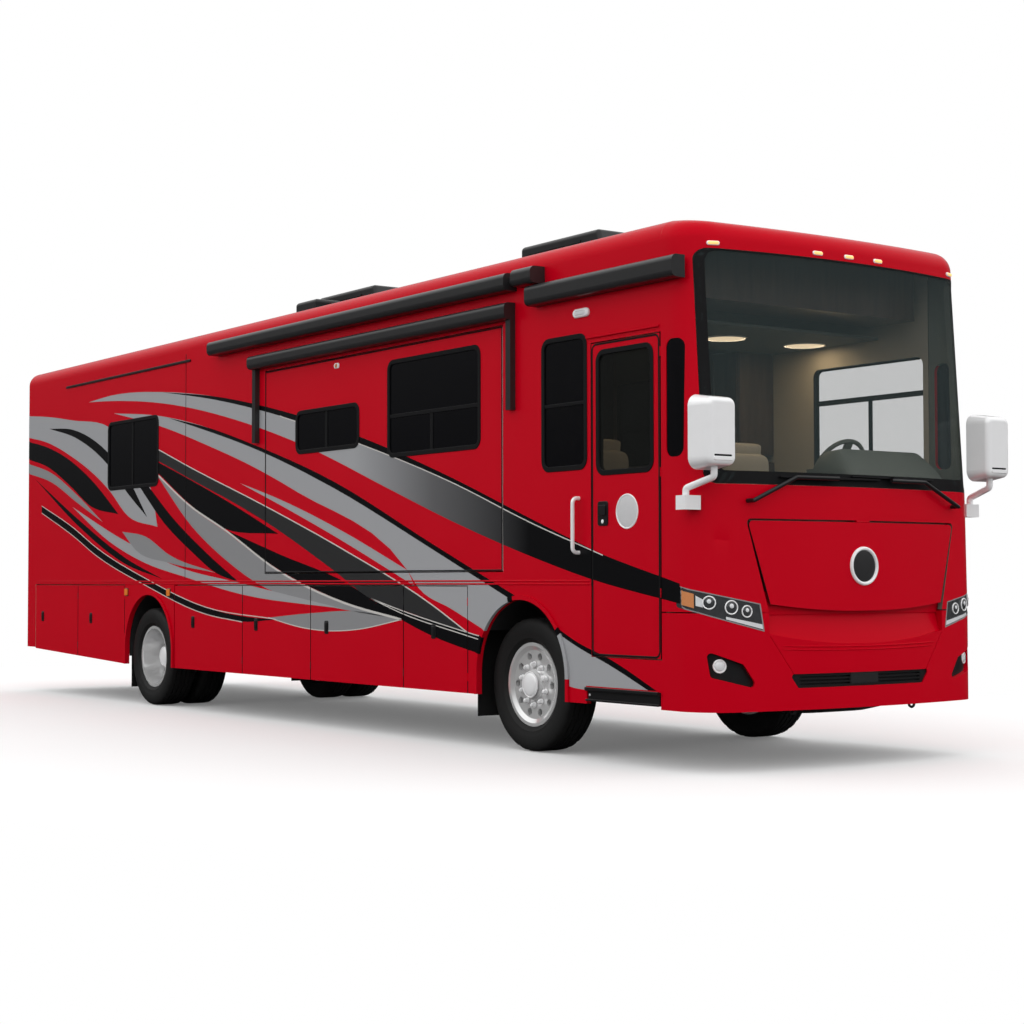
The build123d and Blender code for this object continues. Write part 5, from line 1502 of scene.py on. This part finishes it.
def step_trim():
    """Nosing, lower rail and a marker on the entry step."""
    bm = bmesh.new()
    low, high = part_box("entry_step")
    face = -low.y - SIDE_Y
    x0, x1 = low.x - FRONT_X, high.x - FRONT_X
    strips = [(high.z - 0.018, high.z + 0.004, 0.006, 0.012), (low.z, low.z + 0.014, 0.004, 0.006)]
    for z0, z1, r, out in strips:
        side_slab(bm, "right", x0 + 0.004, x1 - 0.004, z0, z1, r, face - 0.004, face + out, 0)
    dome(bm, side_place("right", x0 + 0.05, low.z + 0.042, face), OUT_RIGHT, 0.008, 0.003, 1, segments=16)
    for across in STEP_RIBS:
        y = across - SIDE_Y
        plate(bm, (low.x + 0.02, y, high.z - 0.002), (high.x - 0.02, y + 0.02, high.z + 0.003), 0.001, 0)
    piece("step_trim", bm, [BLACK, LAMP_CLEAR], "coach", "black_trim")


bay_latches()
door_trim()
slide_trim()
side_markers()
plate_pieces()
under_tray()
step_trim()


# Tail

TAIL_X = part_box("rear_cap")[0].x
TAIL_FLAT = max(abs(v.co.y) for v in nodes["rear_cap"].data.vertices
                if v.co.x - TAIL_X < 1e-4 and v.co.z < 3.0)
TAIL_R = SIDE_Y - TAIL_FLAT
TAIL_STEPS = 8      # steps round a corner of the tail


def tail_path(height):
    """Plan line round the tail, height off its surface, from the right side to the left."""
    points = []
    for side in SIDES:
        corner = []
        for k in range(TAIL_STEPS + 1):
            angle = math.pi / 2 * k / TAIL_STEPS
            corner.append(Vector((TAIL_X + TAIL_R - (TAIL_R + height) * math.sin(angle),
                                  sign(side) * (TAIL_FLAT + (TAIL_R + height) * math.cos(angle)))))
        points += corner if side == "right" else corner[::-1]
    return points


# Bands round the tail: finish, layer, foot and head at the sides, drop in the middle
TAIL_BANDS = [(SILVER_I, 1, 2.84, 3.085, 0.3), (BLACK_I, 1, 2.6, 2.8, 0.34), (GREY_I, 1, 2.44, 2.55, 0.36)]


def tail_bands():
    bm = bmesh.new()
    for finish, layer, foot, head, drop in TAIL_BANDS:
        loops = []
        inner = tail_path(-FILM_FOOT)
        outer = tail_path(LAYER * (layer + 1))
        for i in range(len(inner) - 1):
            steps = 6 if i == TAIL_STEPS else 1
            for k in range(steps):
                t = k / steps
                loops.append((inner[i].lerp(inner[i + 1], t), outer[i].lerp(outer[i + 1], t)))
        loops.append((inner[-1], outer[-1]))
        sections = []
        for low, high in loops:
            sag = drop * (1 - (low.y / SIDE_Y) ** 2)
            pinch = 0.25 * (head - foot) * (1 - (low.y / SIDE_Y) ** 2)
            lower = foot - sag + pinch
            upper = head - sag - pinch
            section = [(low, lower), (high, lower), (high, upper), (low, upper)]
            sections.append([Vector((p.x, p.y, z)) for p, z in section])
        loft(bm, sections, finish)
    piece("stripes_tail", bm, FINISHES, "coach", "body_paint", sharp=20)


def tail_slab(bm, y0, y1, z0, z1, r, low, high, slot=0, soft=0.003):
    """Plate on the tail with round corners and a softened outer edge."""
    def place(y, z, height):
        return Vector((TAIL_X - height, y, z))
    stepped(bm, place, (y0, y1, z0, z1), r, slab_steps(low, high, soft), slot)


# Lenses of a tail lamp: finish slot, foot, head
TAIL_LENSES = [(0, 0.985, 1.1), (1, 1.115, 1.2), (2, 1.215, 1.265), (0, 1.28, 1.395)]
TAIL_LAMP_Y = 1.01
TAIL_LAMP_HALF = 0.11
TAIL_LENS_HALF = 0.09
MARKER_HALF = 0.05
STOP_HALF = 0.16
# Foot and head of the lamp's plate, the reflectors, the markers and the high stop lamp
TAIL_LAMP_Z = (0.963, 1.417)
REFLECTOR_Z = (0.72, 0.76)
TAIL_MARKER_Z = (3.27, 3.3)
STOP_Z = (2.98, 3.02)
TAIL_MARKERS = (-1.0, -0.2, 0.0, 0.2, 1.0)


def tail_lamps():
    bm = bmesh.new()
    for side in SIDES:
        y = sign(side) * TAIL_LAMP_Y
        for slot, z0, z1 in TAIL_LENSES:
            tail_slab(bm, y - TAIL_LENS_HALF, y + TAIL_LENS_HALF, z0, z1, 0.02, -0.001, 0.006, slot)
        tail_slab(bm, y - TAIL_LAMP_HALF, y + TAIL_LAMP_HALF, *TAIL_LAMP_Z, 0.03, -0.001, 0.002, 3)
        tail_slab(bm, y - MARKER_HALF, y + MARKER_HALF, *REFLECTOR_Z, 0.01, -0.001, 0.006, 0)
    for y in TAIL_MARKERS:
        tail_slab(bm, y - MARKER_HALF, y + MARKER_HALF, *TAIL_MARKER_Z, 0.012, -0.001, 0.008, 0)
    tail_slab(bm, -STOP_HALF, STOP_HALF, *STOP_Z, 0.015, -0.001, 0.006, 0)
    piece("tail_lenses", bm, [LAMP_RED, LAMP_AMBER, LAMP_CLEAR, BLACK], "coach", "lamp_red")


# Frame and blank plate: half width, foot, head, inner and outer height off the lid, material
NUMBER_PLATE = [(0.17, 1.375, 1.545, -0.001, 0.003, 1), (0.152, 1.385, 1.535, 0.002, 0.004, 0)]


def number_plate():
    """Blank plate on the engine lid, with its frame and lamp."""
    bm = bmesh.new()
    face = TAIL_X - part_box("engine_hatch")[0].x
    for half, z0, z1, low, high, slot in NUMBER_PLATE:
        tail_slab(bm, -half, half, z0, z1, 0.012, face + low, face + high, slot, soft=0.001)
    for y in (-0.11, 0.11):
        dome(bm, (TAIL_X - face - 0.004, y, 1.52), (-1, 0, 0), 0.007, 0.003, 1, rings=4, segments=12)
    piece("number_plate", bm, [PALE, BLACK], "engine_lid", "bright_trim")


# Screen behind the lid's louvres: half width, foot and head
LID_SCREEN = (0.57, 0.75, 1.24)


def lid_screen():
    """Dark screen let into the engine lid behind its louvres."""
    bm = bmesh.new()
    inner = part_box("engine_hatch")[1].x
    half, foot, head = LID_SCREEN
    plate(bm, (inner - 0.012, -half, foot), (inner - 0.006, half, head), 0.001)
    piece("lid_screen", bm, [GASKET], "engine_lid", "black_trim")


tail_bands()
tail_lamps()
number_plate()
lid_screen()


# Roof

# Cooling units: rear end and front end from the front axle
COOLERS = [(-1.225, -0.075), (-4.5, -3.35)]
COOLER_HALF = 0.365
COOLER_RIM = 0.03
LOUVRE_COUNT = 5
LOUVRE_FOOT = 0.08
LOUVRE_PITCH = 0.04
LOUVRE_TALL = 0.018
ROOF_SEAMS = (-8.2, -6.9, -5.2, -2.4, 0.6)
SEAM_HALF = 1.08
ROOF_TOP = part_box("roof")[1].z


def roof_trim():
    """Louvres on the cooling units, and sealed seams across the roof."""
    bm = bmesh.new()
    for x0, x1 in COOLERS:
        for side in SIDES:
            y = sign(side) * COOLER_HALF
            near, far = sorted((y - sign(side) * 0.004, y + sign(side) * 0.008))
            for k in range(LOUVRE_COUNT):
                z = ROOF_TOP + LOUVRE_FOOT + LOUVRE_PITCH * k
                plate(bm, (at(x0 + 0.12), near, z), (at(x1 - 0.35), far, z + LOUVRE_TALL), 0.003, 0)
        low = (at(x0 - COOLER_RIM), -COOLER_HALF - COOLER_RIM, ROOF_TOP - 0.002)
        high = (at(x1 + COOLER_RIM), COOLER_HALF + COOLER_RIM, ROOF_TOP + 0.022)
        plate(bm, low, high, 0.008, 0)
    piece("cooler_louvres", bm, [BLACK], "coach", "black_trim")
    bm = bmesh.new()
    for x in ROOF_SEAMS:
        low = (at(x), -SEAM_HALF, ROOF_TOP - 0.002)
        high = (at(x + 0.05), SEAM_HALF, ROOF_TOP + 0.003)
        plate(bm, low, high, 0.001)
    piece("roof_seams", bm, [WHITE], "coach", "roof_shell")


roof_trim()


# Cab

def cushion(name, centre, half, crown, channels, lean):
    """Stuffed pad: a crowned form whose sides pull in between its corners, with sewn channels."""
    bm = bmesh.new()
    bmesh.ops.create_cube(bm, size=2.0)
    bmesh.ops.subdivide_edges(bm, edges=bm.edges[:], cuts=15, use_grid_fill=True)
    turn = Matrix.Rotation(lean, 3, "Y")
    power = 5.0
    for vert in bm.verts:
        p = vert.co
        reach = (abs(p.x) ** power + abs(p.y) ** power + abs(p.z) ** power) ** (1 / power)
        q = p / reach
        swell = (1 - q.x * q.x) * (1 - q.y * q.y)
        x = half[0] * q.x * (1 - 0.04 * (1 - q.y * q.y))
        y = half[1] * q.y * (1 - 0.04 * (1 - q.x * q.x))
        z = half[2] * q.z + math.copysign(crown * swell, q.z) * (abs(q.z) > 0.4)
        spot = Vector((x, y, z))
        for line in channels:
            spot.z -= math.copysign(0.007, q.z) * math.exp(-((q.y - line) / 0.035) ** 2) * (abs(q.z) > 0.6)
        vert.co = turn @ spot + Vector(centre)
    obj = piece(name, bm, [LEATHER], "coach", "seat_leather", sharp=80)
    smooth = obj.modifiers.new("smooth", "SUBSURF")
    smooth.levels = 1
    smooth.render_levels = 1
    return obj


# Seats: name, middle of the cushion from the front axle, middle across
SEATS = [("driver", 0.64, 0.6), ("passenger", 0.38, -0.56)]
SEAT_TOP = 1.74
DECK_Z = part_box("floor_deck")[1].z
BACK_LEAN = math.radians(-84)
# Pads of a seat: name, place from the cushion's middle with its height, half sizes, crown, channels, lean
PADS = [
    ("seat_cushion", (0.0, 0.0, SEAT_TOP - 0.075), (0.25, 0.255, 0.055), 0.016, (-0.4, 0.4), 0.0),
    ("seat_back", (-0.335, 0.0, 1.93), (0.26, 0.255, 0.05), 0.018, (-0.4, 0.4), BACK_LEAN),
    ("headrest", (-0.35, 0.0, 2.2), (0.065, 0.2, 0.045), 0.012, (), BACK_LEAN),
    ("arm_in", (-0.06, -0.26, 1.87), (0.19, 0.03, 0.026), 0.004, (), 0.0),
    ("arm_out", (-0.06, 0.26, 1.87), (0.19, 0.03, 0.026), 0.004, (), 0.0),
]
# Pedestal of a seat: half width, height
PEDESTAL = [(0.17, DECK_Z), (0.17, DECK_Z + 0.03), (0.12, DECK_Z + 0.08), (0.12, SEAT_TOP - 0.2),
            (0.22, SEAT_TOP - 0.15), (0.22, SEAT_TOP - 0.13)]


def seats():
    for name, x, y in SEATS:
        for pad, (ahead, across, z), half, crown, channels, lean in PADS:
            centre = (at(x + ahead), y + across, z)
            cushion(f"{name}_{pad}", centre, half, crown, channels, lean)
        bm = bmesh.new()
        loops = []
        for half, z in PEDESTAL:
            outline = rounded(-half, half, -half, half, 0.04)
            loops.append([Vector((at(x) + u, y + v, z)) for u, v in outline])
        loft(bm, loops)
        stand = piece(f"{name}_pedestal", bm, [TRIM], "coach", "cab_trim")
        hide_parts("seats")
        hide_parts("seats")


# Upper cupboard: rear end, front end, inner and outer side, foot, head
CUPBOARD = (-0.7, 0.0, 0.86, 1.226, 2.2, 3.1)
# Cupboard doors: rear end, front end, foot, head, face across
CUPBOARD_DOORS = [(-0.68, -0.36, 2.23, 3.07, 0.86), (-0.34, -0.02, 2.23, 3.07, 0.86),
                  (-0.68, -0.36, 1.4, 2.1, 0.7), (-0.34, -0.02, 1.4, 2.1, 0.7)]


def cupboards():
    """Panelled doors on the cupboards behind the driver."""
    bm = bmesh.new()
    x0, x1, y0, y1, z0, z1 = CUPBOARD
    plate(bm, (at(x0), y0, z0), (at(x1), y1, z1), 0.006)
    for x0, x1, z0, z1, y in CUPBOARD_DOORS:
        bars = [(x0, x1, z0, z0 + 0.06), (x0, x1, z1 - 0.06, z1), (x0, x0 + 0.05, z0, z1),
                (x1 - 0.05, x1, z0, z1)]
        for a0, a1, b0, b1 in bars:
            plate(bm, (at(a0), y - 0.014, b0), (at(a1), y + 0.004, b1), 0.003)
        plate(bm, (at(x1 - 0.04), y - 0.03, z0 + 0.1), (at(x1 - 0.03), y - 0.008, z0 + 0.2), 0.003, 1)
    piece("cupboard_fronts", bm, [WOOD, CHROME_PAINTED_REFLECTION], "coach", "cabinet_wood")


SOFFIT_Z = 3.0
SOFFIT_SPAN = (0.02, 1.14)      # rear and front end from the front axle
SOFFIT_HALF = 1.215
SOFFIT_LAMP_R = 0.15
# Soffit lamps: distance from the front axle, place across
SOFFIT_LAMPS = [(0.58, 0.2), (0.6, 0.98), (0.58, -0.58)]


def soffit():
    """Lowered ceiling over the cab seats with flush lamps."""
    bm = bmesh.new()
    rear, front = SOFFIT_SPAN
    plate(bm, (at(rear), -SOFFIT_HALF, SOFFIT_Z), (at(front), SOFFIT_HALF, SOFFIT_Z + 0.02), 0.004)
    for x, y in SOFFIT_LAMPS:
        dome(bm, (at(x), y, SOFFIT_Z + 0.001), (0, 0, -1), SOFFIT_LAMP_R, 0.014, 1, segments=32)
        turned_ring(bm, (at(x), y, SOFFIT_Z), (0, 0, -1), SOFFIT_LAMP_R + 0.005, 0.008, 2, segments=40)
    piece("cab_soffit", bm, [TRIM, CEILING_GLOW, CHROME_PAINTED_REFLECTION], "coach", "cab_trim")


# Instrument cowl: distance from the front axle, head, corner radius
COWL = [(1.56, 2.06, 0.1), (1.6, 2.11, 0.12), (1.72, 2.12, 0.12), (1.84, 2.02, 0.09), (1.93, 1.9, 0.04)]
COWL_SPAN = (0.13, 1.07)
COWL_FOOT = 1.8


def cowl():
    bm = bmesh.new()
    loops = []
    for x, head, r in COWL:
        corner = min(r, (head - COWL_FOOT) / 2 - 0.002)
        outline = rounded(*COWL_SPAN, COWL_FOOT, head, corner)
        loops.append([Vector((at(x), y, z)) for y, z in outline])
    loft(bm, loops)
    piece("instrument_cowl", bm, [TRIM], "coach", "cab_trim")


seats()
cupboards()
soffit()
cowl()


# Stage

FLOOR_PALE = (0.94, 0.94, 0.94)
FLOOR_WHITE = (0.96, 0.96, 0.96)
FLOOR_BOUNCE = (0.14, 0.14, 0.14)       # floor as the coach's lower panels are lit by it
FLOOR_MIRRORED = (0.05, 0.05, 0.05)
FLOOR_FADE = (9.0, 5.0)                 # half length and half width of the shadowed floor


def make_stage():
    """Pale floor that takes the coach's shadow and runs out into the white background."""
    bpy.ops.mesh.primitive_plane_add(size=160, location=(0, 0, 0))
    floor = bpy.context.object
    floor.name = "studio_floor"
    material, tree, shader = new_material("floor_white")
    path = tree.nodes.new("ShaderNodeLightPath")
    tint = add_mix(tree, add_noise(tree, 0.5), FLOOR_PALE, FLOOR_WHITE)
    seen = add_mix(tree, path.outputs["Is Camera Ray"], FLOOR_BOUNCE, tint)
    mirrored = add_mix(tree, path.outputs["Is Glossy Ray"], seen, FLOOR_MIRRORED)
    tree.links.new(mirrored, shader.inputs["Base Color"])
    shader.inputs["Roughness"].default_value = 1.0
    shader.inputs["Specular IOR Level"].default_value = 0.0
    coords = tree.nodes.new("ShaderNodeTexCoord")
    shrink = tree.nodes.new("ShaderNodeMapping")
    shrink.inputs["Scale"].default_value = (1 / FLOOR_FADE[0], 1 / FLOOR_FADE[1], 1)
    length = tree.nodes.new("ShaderNodeVectorMath")
    length.operation = "LENGTH"
    tree.links.new(coords.outputs["Object"], shrink.inputs["Vector"])
    tree.links.new(shrink.outputs["Vector"], length.inputs[0])
    away = add_range(tree, length.outputs["Value"], low=0.12, high=1.0, start=0.75, end=1.3, smooth=True)
    far = tree.nodes.new("ShaderNodeMath")
    far.operation = "MULTIPLY"
    tree.links.new(away, far.inputs[0])
    tree.links.new(path.outputs["Is Camera Ray"], far.inputs[1])
    glow = tree.nodes.new("ShaderNodeEmission")
    mix = tree.nodes.new("ShaderNodeMixShader")
    tree.links.new(far.outputs["Value"], mix.inputs["Fac"])
    tree.links.new(shader.outputs["BSDF"], mix.inputs[1])
    tree.links.new(glow.outputs["Emission"], mix.inputs[2])
    tree.links.new(mix.outputs["Shader"], tree.nodes["Material Output"].inputs["Surface"])
    floor.data.materials.append(material)


def make_world():
    """White to the camera, soft overhead light, and a studio that mirrors dark at eye level."""
    world = bpy.data.worlds.new("studio")
    scene.world = world
    world.use_nodes = True
    tree = world.node_tree
    back = tree.nodes["Background"]
    path = tree.nodes.new("ShaderNodeLightPath")
    coords = tree.nodes.new("ShaderNodeTexCoord")
    split = tree.nodes.new("ShaderNodeSeparateXYZ")
    tree.links.new(coords.outputs["Generated"], split.inputs["Vector"])
    height = split.outputs["Z"]
    light = add_range(tree, height, low=1.55, high=1.15, end=0.8, smooth=True)
    mirror = add_range(tree, height, low=0.05, high=1.2, end=0.7, smooth=True)
    lit = add_mix(tree, path.outputs["Is Glossy Ray"], light, mirror)
    seen = add_mix(tree, path.outputs["Is Camera Ray"], lit, (1, 1, 1))
    tree.links.new(seen, back.inputs["Color"])


# Camera at the photograph's viewing angle: degrees, then place from the front axle, across and up
AZIMUTH = 54.785
ELEVATION = -2.077
ROLL = -0.092
CAMERA_PLACE = (10.919, -9.020, 1.224)
LENS = 66.03


def make_camera():
    data = bpy.data.cameras.new("camera")
    data.lens = LENS
    data.sensor_width = 36.0
    data.clip_end = 300.0
    camera = bpy.data.objects.new("camera", data)
    scene.collection.objects.link(camera)
    azimuth = math.radians(AZIMUTH)
    elevation = math.radians(ELEVATION)
    back = Vector((math.sin(azimuth) * math.cos(elevation), -math.cos(azimuth) * math.cos(elevation),
                   math.sin(elevation)))
    right = Vector((0, 0, 1)).cross(back).normalized()
    up = back.cross(right)
    turn = Matrix((right, up, back)).transposed().to_4x4()
    roll = Matrix.Rotation(math.radians(ROLL), 4, "Z")
    x, y, z = CAMERA_PLACE
    camera.matrix_world = Matrix.Translation((at(x), y, z)) @ turn @ roll
    scene.camera = camera


make_stage()
make_world()
make_camera()
scene.view_settings.view_transform = "Standard"
